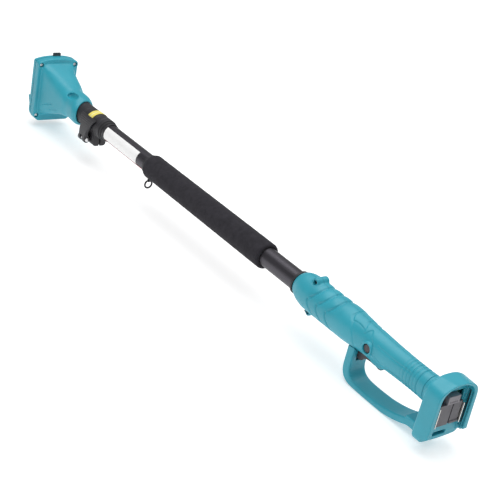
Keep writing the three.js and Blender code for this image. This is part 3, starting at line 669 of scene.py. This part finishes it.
# ---- rear handle ----
# Sections: x, top, bottom, half width.
HANDLE = [
    [-329, 18.2, 17.6, 17.8],
    [-326, 20.8, 19, 19.4],
    [-320, 23.8, 21.6, 22.2],
    [-311, 25.6, 24.8, 24.6],
    [-298, 26, 27.2, 26],
    [-262, 25.8, 27.5, 26.4],
    [-216, 25.8, 27.5, 26],
    [-194, 24, 27.2, 24],
    [-170, 21.8, 26.4, 21.2],
    [-148, 20.2, 25.4, 19.6],
    [-118, 18.4, 24, 18],
    [-84, 17.2, 23.6, 17],
    [-60, 17, 24, 17],
    [-46, 17.2, 24.8, 17.2],
]
HOLLOW = [
    [-207, 24.4, 27.4, 24.8],
    [-170, 21.7, 26.4, 21],
    [-118, 17.9, 24, 17.6],
    [-44, 16.4, 23.4, 17],
]
SHELL_WALL = 2.6
HANDLE_STEP = 0.75
HALF_SEAM = 0.08
BUTTON = (-155, -20, -3.6)
BUTTON_HOLE = 7.2
TRIGGER_PIN = (-126, 0, -17)
TRIGGER_SLOT = ((-192, -119), (-6.3, 6.3), (-45, -2.6))
# Screw holes on each side, at (x, z).
LEFT_SCREWS = [(-291, 24.8), (-294.5, -28)]
RIGHT_SCREWS = [(-100, 6), (-90, -15)]
SCREW_HOLE = 3.6
# Bosses round the left screws: (x, z), radius, span in y.
SCREW_BOSSES = (((-291, 24.8), 6.8, (-11.5, 11.5)), ((-294, -27.8), 5.6, (-9, 9)))
CHEVRONS = (-271.5, -251, -230.5)
THUMB_GROOVES = (-202, -178.5)
# Ring grooves behind the button: x and depth.
RING_GROOVES = ((-90, 0.7), (-84, 1.1), (-78, 1.1), (-72, 1.4), (-66, 1.1), (-59, 1.7))
# Lines moulded into the sides: points (x, z), depth and width.
SIDE_LINES = (
    ([(-141, 8.9), (-106, 6.4), (-74, 6.6)], 0.8, 0.9),
    ([(-146, -8), (-133, -10.4), (-126, -13)], 0.8, 0.9),
    ([(-118, -13.2), (-82, -12.2), (-60, -17)], 1.2, 0.8),
)
PANEL = path(
    (-178, -34),
    (-184, -2),
    ((-190, 9), (-195.5, 17.4)),
    ((-188, 18.6), (-180.5, 17.2)),
    (-172, 15.4),
    ((-170.4, 10.4), (-167.5, 13)),
    ((-164, 20), (-161.5, 18.6)),
    ((-158, 15.4), (-155, 11.6)),
    ((-146.5, 7.4), (-145.4, -2)),
    ((-145, -9), (-149, -13)),
    (-153, -34),
)
SKIRT = [(-176, -12), (-166, -22.6), (-151, -24.4), (-137, -25.6), (-129, -24.6)]
SKIRT += [(-123.5, -20.6), (-120, -12)]
SKIRT_SPAN = (-11.6, 11.6)


def handle_body(grid):
    """The skin with its screw bosses and the skirt over the trigger."""
    body = skin_field(grid, HANDLE)
    for (x, z), radius, span in SCREW_BOSSES:
        body = union(body, round_field(grid, "y", radius, span, (x, 0, z), 1.4), 2.4)
    return union(body, prism_field(grid, SKIRT, SKIRT_SPAN, "y", 2.6), 2.0)


def add_grip_grooves(body, X, Z):
    """Chevrons, thumb grooves and ring grooves, from the front to the rear."""
    for x in CHEVRONS:
        upper = path((x, 34), (x, 21), ((x - 1.5, 15), (x - 9, 8)))
        lower = path((x - 13.5, 4), ((x - 12, -2), (x - 8, -8)), ((x - 3, -15), (x + 4, -24)))
        for line, depth, width in ((upper, 1.9, 1.9), (upper, 0.9, 5.5), (lower, 1.8, 1.3)):
            body = groove(body, line_distance(X, Z, line), depth, width)
    for x in THUMB_GROOVES:
        short = path((x, 30), (x, 22), ((x + 2, 20.4), (x + 5, 17.6)))
        body = groove(body, line_distance(X, Z, short), 1.4, 1.1)
    for x, depth in RING_GROOVES:
        body = groove(body, np.abs(X - x), depth, 0.8)
    return body


def add_side_panel(body, grid):
    """The sunken panel round the button, its edge, and the lines near it."""
    X, Y, Z = grid
    panel = outline_distance(X, Z, PANEL)
    sides = np.clip((np.abs(Y) - 4) / 6, 0, 1)
    body = body + np.clip(0.5 - panel / 1.4, 0, 1) * sides
    body = groove(body, np.abs(panel) + 3 * (1 - sides), 0.5, 0.9)
    for line, depth, width in SIDE_LINES:
        body = groove(body, line_distance(X, Z, line), depth, width)
    return body


def open_handle(body, grid, side):
    """Room for the inside, tube, trigger, pin, button and screws."""
    body = np.maximum(body, -skin_field(grid, HOLLOW, SHELL_WALL))
    body = without(body, round_field(grid, "x", SLEEVE_BORE, (-345, TUBE_REAR + GAP)), 0.5)
    body = without(body, box_field(grid, *TRIGGER_SLOT, 0.6), 0.8)
    body = without(body, round_field(grid, "y", PIN_RADIUS + GAP, (-8.8, 8.8), TRIGGER_PIN), 0.4)
    if side < 0:
        body = without(body, round_field(grid, "y", BUTTON_HOLE, (-30, -2), BUTTON), 0.8)
    seat = (-40, -5.5) if side < 0 else (5.5, 40)
    for x, z in LEFT_SCREWS if side < 0 else RIGHT_SCREWS:
        body = without(body, round_field(grid, "y", SCREW_HOLE, seat, (x, 0, z)), 0.5)
    return body


def handle_field(grid, side):
    """A half shell: side is -1 for left and 1 for right."""
    X, Y, Z = grid
    body = add_grip_grooves(handle_body(grid), X, Z)
    body = add_side_panel(body, grid)
    if side < 0:
        body = union(body, round_field(grid, "y", 10.4, (-22, -12), BUTTON, 1.2), 0.8)
    body = open_handle(body, grid, side)
    return without(body, side * Y - HALF_SEAM, 0.25)


def build_handle():
    for side, node in ((-1, "handle_shell_left"), (1, "handle_shell_right")):
        low = (-331, -28 if side < 0 else -1.5, -36)
        high = (-44, 1.5 if side < 0 else 28, 34)
        sculpt(node + "_skin", node, lambda grid: handle_field(grid, side), low, high, HANDLE_STEP)
    cuff = pipe("front_cuff_ring", 19.2, SLEEVE_BORE, -333.5, -329.3)
    stand_for(soften(cuff, 0.5), "front_cuff")


# ---- hand guard ----
GUARD = path(
    (-193.5, -18),
    (-194, -52),
    ((-194, -76.4), (-168, -77.4)),
    ((-140, -78.6), (-105, -77.9)),
    ((-80, -75.5), (-58, -66.5)),
    ((-50, -64.4), (-44, -63.4)),
    (-28.9, -60),
    (-28.9, -49),
    (-44, -51),
    ((-51, -52), (-58, -54.6)),
    ((-84, -66), (-116, -69)),
    ((-146, -70.6), (-162, -69)),
    ((-180.5, -66.5), (-180.5, -50)),
    (-180, -18),
)
GUARD_SPAN = (-16.5, 16.5)
GUARD_PLUG = ((-61, -43), (-15.6, 15.6), (-65.6, -51.6))
GUARD_PLUG_SEAM = -41.5
TRIGGER_NOTCH = ((-189, -170), (-6.8, 6.8), (-42, -10))


def guard_field(grid):
    bar = prism_field(grid, GUARD, GUARD_SPAN, "y", 2.6)
    bar = union(bar, box_field(grid, *GUARD_PLUG, 1.2), 0.8)
    bar = groove(bar, np.abs(grid[0] - GUARD_PLUG_SEAM), 0.8, 0.6)
    bar = without(bar, skin_field(grid, HANDLE, -GAP), 0.5)
    return without(bar, box_field(grid, *TRIGGER_NOTCH, 0.8), 0.6)


def build_guard():
    low, high = (-197, -19, -81), (-26, 19, -15)
    sculpt("hand_guard_skin", "hand_guard", guard_field, low, high, HANDLE_STEP)


# ---- battery housing ----
HOUSING = mirrored(path(
    (0, -61.5),
    ((22, -61.3), (30, -60)),
    ((38.5, -58.4), (38.5, -48)),
    (37.1, 7),
    ((36.8, 20.6), (29.2, 25.6)),
    ((15.5, 33.2), (0, 33.2)),
))
HOUSING_SPAN = (-28.5, 14)
HOOD_SLOPE = 0.0019
BAY = mirrored(path(
    (0, -90),
    (30.4, -90),
    (30.4, 9),
    ((30, 19.2), (23.5, 23.8)),
    ((12.6, 30.6), (0, 30.6)),
))
BAY_FRONT = -13
# What is cut away under the slanted feet of the two legs, in (x, z).
BELOW_FEET = [(-13, -95), (-13, -54), (3, -43.9), (3, -95)]
# Sections of the neck to the handle: x, top, bottom, half width.
NECK = [
    [-45.7, 17.2, 24.8, 17.2],
    [-42, 17.4, 25, 17.6],
    [-36, 19.4, 26.6, 20],
    [-31, 23, 30, 24.5],
    [-24, 27.5, 33, 32],
    [-16, 28, 34, 34],
]
# Rail grooves in both legs: span in x, reach in y, top, corner radius, edge radius.
RAIL_GROOVES = (((-11, -6.2), 34.8, 14, 0.4, 0.6), ((-4.2, -2.2), 32.6, 13, 0.3, 0.5))
# Rooms for terminals, controller board and battery latch: x, y, z, corner radius.
HOUSING_ROOMS = (
    ((-18, -10), (-25.6, 25.6), (-36.6, 12.7), 1.0),
    ((-25.8, -17), (-33, 33), (-45, 17), 2.0),
    ((-22, -10), (-12, 12), (-55.5, -49.5), 0.6),
)


def housing_field(grid):
    X, Y, Z = grid
    sloped = Z + np.clip(Z, 0, 30) * np.clip(X, -28, 0) * HOOD_SLOPE
    shell = prism_field((X, Y, sloped), HOUSING, HOUSING_SPAN, "x", 4.0)
    body = union(without(shell, -X, 1.0), skin_field(grid, NECK), 4.0)
    body = union(body, round_field(grid, "x", 13, (-60, -44), (0, 0, -3), 0.5), 0.3)
    body = without(body, outline_distance(X, Z, BELOW_FEET), 0.8)
    body = without(body, np.maximum(outline_distance(Y, Z, BAY), BAY_FRONT - X), 0.9)
    for side in (-1, 1):
        for x, reach, top, corner, edge in RAIL_GROOVES:
            y = sorted((side * 26, side * reach))
            body = without(body, box_field(grid, x, y, (-90, top), corner), edge)
    for x, y, z, corner in HOUSING_ROOMS:
        body = without(body, box_field(grid, x, y, z, corner), 0.6)
    return without(body, round_field(grid, "x", 10.5, (-70, -24)), 0.5)


def build_housing():
    low, high = (-62, -41, -64), (2.5, 41, 32)
    sculpt("battery_housing_skin", "battery_housing", housing_field, low, high, 0.7)
    build_terminals()
    # Painted shade: dark strips on the inner walls of the rail grooves. They stand for the grooves'
    # shadowed walls and are not real rails.
    for name, y in (("painted_shade_strip_left", -34.9), ("painted_shade_strip_right", 34.1)):
        rail = block(name, (-10.6, -6.6), (y, y + 0.8), (-41, 11))
        finish_piece(soften(rail, 0.2, 2), "battery_housing", "latch_plastic")
    for node, y in (("terminal_blade_left", -22.6), ("terminal_blade_right", 22.6)):
        blade = block(node + "_strip", (-17, -4.6), (y - 0.6, y + 0.6), (-35, -4))
        stand_for(soften(blade, 0.25, 2), node)


def build_terminals():
    terminal = block("terminal_block_body", (-20, -6.4), (-21.4, 21.2), (-34.6, -1))
    recesses = [
        block("groove", (-10, 1), (1.6, 4.6), (-40, 2)),
        block("step", (-7.4, 1), (4.6, 24), (-31, 2)),
    ]
    stand_for(soften(carve(terminal, *recesses), 0.5), "terminal_block")
    connector = block("data_connector_body", (-20, -5.2), (-11, 11), (-0.7, 11.5))
    windows = [block("window", (-8, 1), (y - 1, y + 1), (1.5, 3.2)) for y in (-6, -2, 2, 6)]
    stand_for(soften(carve(connector, *windows), 0.5), "data_connector", "connector_plastic")


# ---- trigger and button ----
TRIGGER = path(
    (-184.5, -16.5),
    (-185, -29),
    ((-183.5, -38.4), (-176, -38.4)),
    ((-171.5, -37.6), (-169.5, -33.6)),
    ((-166.5, -29), (-156, -28.9)),
    ((-148, -29), (-142, -29.4)),
    ((-138, -30.8), (-134.5, -30.2)),
    ((-131, -29), (-129, -24.4)),
    ((-123.5, -21), (-121.5, -16)),
    (-123, -13),
    (-146, -13.2),
    (-149, -15.8),
)
TRIGGER_SPAN = (-5.8, 5.8)
# The button's outline, as (y, radius): its dished face with a rim, then its stem.
BUTTON_FACE = [(-20.4, 0), (-20.2, 2.4), (-19.9, 4.2), (-20.1, 5.0), (-19.9, 5.8), (-19.2, 6.2)]
BUTTON_STEM = [(-9, 6.2), (-9, 2.2), (6, 2.2), (6, 0)]


def trigger_field(grid):
    body = prism_field(grid, TRIGGER, TRIGGER_SPAN, "y", 1.4)
    return without(body, round_field(grid, "y", PIN_RADIUS + GAP, (-9, 9), TRIGGER_PIN), 0.3)


def build_controls():
    sculpt("trigger_lever", "trigger", trigger_field, (-187, -7.5, -40), (-118, 7.5, -11), 0.5)
    centre = (BUTTON[0], 0, BUTTON[2])
    button = turned("lockoff_button_cap", BUTTON_FACE + BUTTON_STEM, "y", centre, 64, closed=False)
    stand_for(button, "lockoff_button")


# ---- tubes, foam, label, strap ring, lead ----
FOAM_FRONT = -758
FOAM_REAR = -415.5
FOAM_RADIUS = 22
LABEL_SPAN = (-904, -789)
LABEL_ARC = (123, 208)
LABEL_LINE_SPAN = (-902, -770)
LABEL_LINE_ARC = (210, 213.5)
STRAP_X = -762
STRAP_RADIUS = 18.4
# The strap ring: height of its middle, radius to the middle of its wire, the wire's radius.
RING_Z = -36.2
RING_RADIUS = 7
RING_WIRE = 1.6
LEAD_FRONT = -1046
LEAD_REAR = -224


def foam_profile(low, high, radius, bore):
    """Slightly soft ends and a barely uneven outer line."""
    edge = [(0, 3.2), (0.4, 1.8), (1.4, 0.6)]
    profile = [(low, bore)] + [(low + along, radius - depth) for along, depth in edge]
    steps = 120
    for i in range(steps + 1):
        x = low + 3 + (high - low - 6) * i / steps
        profile.append((x, radius - 0.1 + 0.1 * math.sin(i * 0.7) * math.cos(i * 0.23)))
    profile += [(high - along, radius - depth) for along, depth in reversed(edge)]
    return profile + [(high, bore)]


def build_tubes():
    tube = pipe("outer_tube_wall", TUBE_RADIUS, 14.5, TUBE_FRONT, TUBE_REAR, 128)
    stand_for(soften(tube, 0.4), "outer_tube")
    tube = pipe("inner_tube_wall", 14.1, 12.8, -1052, -330, 128)
    stand_for(soften(tube, 0.3), "inner_tube")
    foam = turned("foam_grip_sleeve", foam_profile(FOAM_FRONT, FOAM_REAR, FOAM_RADIUS, SLEEVE_BORE))
    stand_for(foam, "foam_grip")
    label = arc_patch("tube_label_film", SLEEVE_BORE, 16.65, LABEL_ARC, LABEL_SPAN)
    stand_for(label, "tube_label", smooth=False)
    line = arc_patch("tube_label_line", SLEEVE_BORE, 16.6, LABEL_LINE_ARC, LABEL_LINE_SPAN)
    finish_piece(line, "tube_label", "red_print", smooth=False)


def build_strap():
    """The band with its lug, and the loose wire ring in the lug's eye."""
    band = pipe("strap_band_ring", STRAP_RADIUS, SLEEVE_BORE, STRAP_X - 3, STRAP_X + 3)
    lug = prism("lug", path(
        (STRAP_X - 3, -17),
        (STRAP_X - 3, -28.4),
        ((STRAP_X - 2.8, -32), (STRAP_X, -32)),
        ((STRAP_X + 2.8, -32), (STRAP_X + 3, -28.4)),
        (STRAP_X + 3, -17),
    ), -1.6, 1.6, "y")
    eye = rod("eye", 1.95, -4, 4, "y", (STRAP_X, 0, RING_Z + RING_RADIUS), 32)
    band = carve(weld(band, lug), eye)
    stand_for(soften(band, 0.4, 2), "strap_band")
    sides = 20
    angles = [2 * math.pi * j / sides for j in range(sides)]
    wire = [(RING_WIRE * math.sin(b), RING_RADIUS + RING_WIRE * math.cos(b)) for b in angles]
    stand_for(turned("strap_ring_wire", wire, "x", (STRAP_X, 0, RING_Z), 64), "strap_ring")


def build_lead():
    """The coiled lead inside the tubes, which stretches as the pole is drawn out."""
    per_turn = 12
    count = 120 * per_turn
    steps = [
        (LEAD_FRONT + (LEAD_REAR - LEAD_FRONT) * i / count, 2 * math.pi * i / per_turn)
        for i in range(count + 1)
    ]
    lead = coil("coiled_lead_coil", steps, "x", (0, 0, 0), 4.4, 1.3, 6)
    lead.data.shade_smooth()
    lead.data.materials.append(LOOKS["black_plastic"])
    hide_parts("coiled_lead")
    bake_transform(lead)


# ---- clamp ----
COLLAR_SPAN = (-983, -919)
COLLAR_RADIUS = 20.3
COLLAR_STEP_SPAN = (-930, -905.4)
COLLAR_STEP_RADIUS = 17.5
# Collar's ring grooves: x, depth, width.
COLLAR_GROOVES = ((-945, 1.0, 1.6), (-929.5, 0.9, 0.9))
COLLAR_SLIT = ((-990, -933), (-1.4, 1.4), (-60, -10))
SEAL_PROFILE = [(-919.2, 17.3), (-919.2, 18.9), (-913.4, 18.9), (-912.6, 18.2), (-912.6, 17.3)]
MARKER_ARC = (2, 141)
EARS = mirrored(path((0, -40), (6.6, -40), ((13.6, -40), (13.6, -33)), (13.6, -8), (0, -8)))
EARS_SPAN = (-977, -940)
BOLT_X = -965
# The lever's section, in (y, z), from its pivot round the collar.
LEVER_PIVOT = (-20.6, -31)
LEVER = path(
    (-27.2, -31),
    ((-28.7, -14), (-25.6, 0)),
    ((-24.2, 10), (-19.4, 15.4)),
    (-16.6, 12.6),
    ((-21.5, 6), (-21.3, -2)),
    ((-21.3, -10), (-20.3, -20)),
    (-15.6, -28),
    (-20.6, -31),
)
LEVER_SPAN = (-983, -933)
# Cut away before and behind the lever, in (x, z).
BEFORE_LEVER = [(-999, -62), (-999, 12), (-985, 12), (-974, -8), (-973.5, -33), (-973.5, -62)]
BEHIND_LEVER = [(-920, -62), (-920, 14), (-934, 12.4), (-938, 6), (-948, -12), (-953, -26)]
BEHIND_LEVER += [(-953, -62)]
LEVER_RIBS = (2, 5.5, 9)
KNUCKLE_SPAN = (-977, -953)
PIN_SEATS = ((-995, -977), (-953, -930))
PIN_HEAD = [(0, 0), (0, 3.2), (0.3, 3.8), (0.8, 4), (1.0, 4)]


def collar_field(grid):
    X = grid[0]
    z = LEVER_PIVOT[1]
    body = round_field(grid, "x", COLLAR_RADIUS, COLLAR_SPAN, rounding=0.7)
    step = round_field(grid, "x", COLLAR_STEP_RADIUS, COLLAR_STEP_SPAN, rounding=0.4)
    body = union(body, step, 0.3)
    body = union(body, prism_field(grid, EARS, EARS_SPAN, "x", 2.2), 2.5)
    for x, depth, width in COLLAR_GROOVES:
        body = groove(body, np.abs(X - x), depth, width)
    body = without(body, round_field(grid, "x", SLEEVE_BORE, (TUBE_FRONT - GAP, -880)), 0.3)
    body = without(body, round_field(grid, "x", CHANNEL, (-990, -900)), 0.3)
    body = without(body, box_field(grid, *COLLAR_SLIT, 0.3), 0.6)
    body = without(body, round_field(grid, "y", 5.6, (9.5, 30), (BOLT_X, 0, z)), 0.5)
    eye_room = box_field(grid, (BOLT_X - 5, BOLT_X + 5), (-30, -8), (z - 6, z + 6), 0.5)
    return without(body, eye_room, 0.5)


def lever_field(grid):
    X, _, Z = grid
    y, z = LEVER_PIVOT
    body = prism_field(grid, LEVER, LEVER_SPAN, "x", 1.1)
    for cut in (BEFORE_LEVER, BEHIND_LEVER):
        body = without(body, outline_distance(X, Z, cut), 1.0)
    for rib in LEVER_RIBS:
        body = groove(body, np.abs(Z - rib), 0.45, 0.6)
    body = union(body, round_field(grid, "x", 6.6, KNUCKLE_SPAN, (0, y, z), 0.8), 1.0)
    collar_room = round_field(grid, "x", 21.2, (-995, -930))
    ears_room = box_field(grid, (-995, -930), (-13.9, 5), (-60, 0))
    body = without(body, np.minimum(collar_room, ears_room), 0.5)
    eye_room = box_field(grid, (BOLT_X - 4.2, BOLT_X + 4.2), (-40, -8), (z - 8, z + 6.4), 0.5)
    body = without(body, eye_room, 0.5)
    for x in PIN_SEATS:
        body = without(body, round_field(grid, "x", 4.5, x, (0, y, z)), 0.3)
    return without(body, round_field(grid, "x", PIN_RADIUS + GAP, (-1000, -930), (0, y, z)), 0.3)


def build_clamp():
    low, high = (-985, -23, -42), (-903, 23, 23)
    sculpt("clamp_collar_body", "clamp_collar", collar_field, low, high, 0.6)
    low, high = (-985, -31, -40), (-931, -12, 21)
    sculpt("clamp_lever_body", "clamp_lever", lever_field, low, high, 0.45)
    build_clamp_pins()
    seal = turned("clamp_collar_seal", SEAL_PROFILE)
    finish_piece(soften(seal, 0.3, 2), "clamp_collar", "dark_rubber")
    marker = arc_patch("collar_marker_web", 20.6, 20.9, MARKER_ARC, (-967, -951))
    stand_for(marker, "collar_label", "yellow_stripe", smooth=False)
    for name, x in (("collar_marker_front", (-967, -960.5)), ("collar_marker_rear", (-958, -951))):
        finish_piece(arc_patch(name, 20.8, 21.1, MARKER_ARC, x), "collar_label", smooth=False)


def build_clamp_pins():
    y, z = LEVER_PIVOT
    rear = [(-951.4 - along, radius) for along, radius in PIN_HEAD]
    shank = [(-952.4, PIN_RADIUS), (-977.6, PIN_RADIUS)]
    front = [(-978.6 + along, radius) for along, radius in reversed(PIN_HEAD)]
    pin = turned("clamp_lever_rivet", rear + shank + front, "x", (0, y, z), 48, closed=False)
    stand_for(pin, "clamp_lever_pin")
    nut = rod("clamp_nut_hex", 4.8, 9.8, 13.4, "y", (BOLT_X, 0, z), 6)
    nut = carve(nut, rod("hole", 2.8, 8, 15, "y", (BOLT_X, 0, z), 32))
    stand_for(soften(nut, 0.4, 2), "clamp_nut", smooth=False)


# ---- head ----
# Sections: x, top, bottom, half width, squareness.
HEAD = [
    [-1142, 58, 53, 37, 10],
    [-1130, 55, 51, 35.6, 10],
    [-1124, 52.4, 48.2, 34.4, 8],
    [-1114, 48.8, 44, 32.8, 5],
    [-1098, 43.8, 38, 31.2, 3.8],
    [-1078, 37.6, 31.4, 29.2, 3.1],
    [-1060, 33, 26.6, 27.4, 2.5],
    [-1046, 30.8, 25.4, 26.4],
    [-1030, 29.6, 26.8, 27],
    [-1021, 28.6, 27.4, 27.4],
    [-1015, 26.8, 26.4, 26.4],
    [-1010, 24.2, 24.2, 24.2],
    [-1006, 22.2, 22.2, 22.2],
]
HEAD_REAR = -1008
# How far the neck's rear leans forward per mm of y and of z.
NECK_SLANT = (0.32, 0.12)
FLANGE = mirrored(path(
    (0, -63.5),
    (28.5, -63.5),
    ((34.5, -63.5), (39, -55)),
    ((42.5, -50), (42.5, -44)),
    (42.5, 54),
    ((42.5, 57.6), (39, 58.8)),
    ((24, 64), (0, 64)),
))
FLANGE_SPAN = (-1143, -1128)
SCREWS = {"top_left": (-36, 52), "top_right": (36, 52)}
SCREWS |= {"bottom_left": (-36, -51.3), "bottom_right": (36, -51.3)}
SCREW_SEAT_X = -1132.7
# The thumb dimple: its middle, tilt about the pole, and half length, width and depth.
DIMPLE_X = -1032
DIMPLE_HEIGHT = 29.2
DIMPLE_TILT = math.radians(31)
DIMPLE_SIZE = (17, 8.6, 6.4)
SLEEVE_PROFILE = [(-1019, CHANNEL), (-1019, 20.2), (-1001, 20.2), (-1000.4, 19.8), (-999.8, 20.2)]
SLEEVE_PROFILE += [(-984.5, 20.2), (-983.3, 19.2), (-983.3, CHANNEL)]
# Two short grooves low on the left side, in (x, z).
FLANK_GROOVES = ([(-1115, -23.6), (-1085.5, -11.7)], [(-1093.5, -25.8), (-1069.5, -16.7)])


def dimple_field(grid):
    X, Y, Z = grid
    along = X - DIMPLE_X
    across = Y * math.cos(DIMPLE_TILT) + Z * math.sin(DIMPLE_TILT)
    above = -Y * math.sin(DIMPLE_TILT) + Z * math.cos(DIMPLE_TILT) - DIMPLE_HEIGHT - 0.2 * along
    lean = along * 0.99 + across * 0.12
    side = across * 0.99 - along * 0.12
    length, width, depth = DIMPLE_SIZE
    return (np.sqrt((lean / length) ** 2 + (side / width) ** 2 + (above / depth) ** 2) - 1) * 6


def funnel_field(grid):
    """The flared neck, whose rear rim leans."""
    X, Y, Z = grid
    bent = np.clip((X + 1078) / 36, 0, 1)
    bent = bent * bent * (3 - 2 * bent)
    slanted = X + (NECK_SLANT[0] * Y + NECK_SLANT[1] * Z) * bent
    return without(skin_field((slanted, Y, Z), HEAD), HEAD_REAR - slanted, 0.8)


def head_field(grid):
    X, Y, Z = grid
    body = union(prism_field(grid, FLANGE, FLANGE_SPAN, "x", 1.8), funnel_field(grid), 2.4)
    body = without(body, dimple_field(grid), 0.7)
    for line in FLANK_GROOVES:
        near = line_distance(X, Z, line) + np.clip(Y + 15, 0, 20)
        body = groove(body, near, 1.5, 1.0)
    for y, z in SCREWS.values():
        body = union(body, round_field(grid, "x", 6.4, (-1140, -1127.2), (0, y, z), 0.8), 1.4)
        body = without(body, round_field(grid, "x", 4.5, (-1133, -1090), (0, y, z)), 0.5)
    body = without(body, round_field(grid, "x", 20.5, (-1020, -980)), 0.4)
    return without(body, round_field(grid, "x", CHANNEL, (-1053, -1000)), 0.4)


def screw(name, node, x, y, z):
    """A pan-head screw seen from behind, with a cross recess."""
    shank = [(-14, 0), (-14, 1.8), (0, 1.8)]
    head = [(0, 3.9), (1.2, 3.9), (2.1, 3.6), (2.9, 2.8), (3.3, 1.6), (3.4, 0)]
    profile = [(x + along, radius) for along, radius in shank + head]
    made = turned(name, profile, "x", (0, y, z), 40, closed=False)
    slots = [
        block("slot", (x + 1.6, x + 5), (y - half_y, y + half_y), (z - half_z, z + half_z))
        for half_y, half_z in ((0.55, 2.1), (2.1, 0.55))
    ]
    carve(made, *slots)
    made.data.set_sharp_from_angle(angle=math.radians(40))
    return stand_for(made, node)


def build_head():
    low, high = (-1144.5, -45, -66), (-1000, 45, 66)
    sculpt("head_shell_skin", "head_shell", head_field, low, high, 0.85)
    build_front_plate()
    for corner, (y, z) in SCREWS.items():
        node = "head_screw_" + corner
        screw(node + "_pan", node, SCREW_SEAT_X, y, z)
    build_latch()
    build_adapter()
    stand_for(soften(turned("neck_sleeve_band", SLEEVE_PROFILE), 0.3, 2), "neck_sleeve")


def build_front_plate():
    plate = prism("head_front_plate_body", FLANGE, -1150, -1143.3, "x")
    for side in (-1, 1):
        y = sorted((side * 38.5, side * 41.5))
        fin = prism("fin", [(-1159, -19), (-1149, -17), (-1149, -41)], y[0], y[1], "y")
        plate = weld(plate, fin)
    room = block("room", (-1148.9, -1145.3), (-4.3, 12.3), (40, 80))
    window = block("window", (-1152, -1148), (-1.4, 9.4), (44.6, 56.4))
    stand_for(soften(carve(plate, room, window), 0.8), "head_front_plate")


def build_latch():
    top_left, top_right = ((-4, 70), (-4, 68.4)), ((12, 70), (10.4, 70))
    tab_outline = path((-4, 46), (12, 46), (12, 68.4), top_right, (-2.4, 70), top_left, steps=4)
    tab = prism("latch_tab_body", tab_outline, -1148.6, -1145.6, "x")
    hook_outline = [(-1154, 50.6), (-1148.5, 49.4), (-1147, 49.4), (-1147, 55.4), (-1149, 55.4)]
    tab = weld(tab, prism("hook", hook_outline, 0, 8, "y"))
    ribs = [block("rib", (-1146.1, -1144), (-2.5, 10.5), (z, z + 0.7)) for z in (65.4, 67, 68.6)]
    stand_for(soften(carve(tab, *ribs), 0.35, 2), "latch_tab", "latch_plastic")


def build_adapter():
    outline = [(-28, -48), (28, -48), (28, 34), (20, 43), (-20, 43), (-28, 34)]
    body = prism("tool_adapter_block", outline, -1165, -1150.3, "x")
    cuts = [block("rail", (-1159, -1154), y, (-60, 60)) for y in ((-30, -25), (25, 30))]
    cuts += [block("slot", (-1168, -1153), (y - 1.6, y + 1.6), (-8, 30)) for y in (-17, 17)]
    cuts.append(block("well", (-1168, -1158), (-9, 9), (4, 30)))
    stand_for(soften(carve(body, *cuts), 0.7), "tool_adapter")
    for node, y in (("adapter_contact_left", -17), ("adapter_contact_right", 17)):
        contact = block(node + "_strip", (-1163, -1153.3), (y - 1.2, y + 1.2), (-4, 26))
        stand_for(soften(contact, 0.3, 2), node)


# ---- springs ----
def coil_spring(node, axis, centre, span, radius, wire, turns):
    """A wire coil along y or z, with closed end turns; radius is its outside."""
    per_turn = 24
    steps = []
    for i in range(turns * per_turn + 1):
        turn = i / per_turn
        lift = min(max((turn - 0.8) / (turns - 1.6), 0), 1)
        along = span[0] + wire + (span[1] - span[0] - 2 * wire) * lift
        steps.append((along, 2 * math.pi * turn))
    return stand_for(coil(node + "_wire", steps, axis, centre, radius - wire, wire, 10), node)


def build_springs():
    spring = coil_spring("lockoff_spring", "y", (-155, 0, -3.6), (-8.6, 5.2), 3.55, 0.5, 6)
    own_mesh(spring)
    spring = coil_spring("trigger_spring", "z", (-172.5, 0, 0), (-15.6, -3.8), 3.3, 0.45, 6)
    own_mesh(spring)
    spring = coil_spring("latch_spring", "z", (-1147.1, 4, 0), (40.6, 45.4), 1.1, 0.14, 5)
    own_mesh(spring)


# ---- everything ----
def dress_remaining_nodes():
    """CAD nodes that keep their shape get their slot's material."""
    for name, node in frame["nodes"].items():
        if not node.hide_render:
            node.data.materials.clear()
            node.data.materials.append(LOOKS[SLOT_OF[name]])


def add_floor():
    reach = FLOOR_REACH
    corners = [(-reach, -reach, 0), (reach, -reach, 0), (reach, reach, 0), (-reach, reach, 0)]
    mesh = bpy.data.meshes.new("floor")
    mesh.from_pydata(corners, [], [(0, 1, 2, 3)])
    floor = bpy.data.objects.new("floor", mesh)
    bpy.context.scene.collection.objects.link(floor)
    mesh.materials.append(pale_floor())


add_camera()
add_studio()
build_handle()
build_guard()
build_housing()
build_controls()
build_tubes()
build_strap()
build_lead()
build_clamp()
build_head()
build_springs()
dress_remaining_nodes()
add_floor()
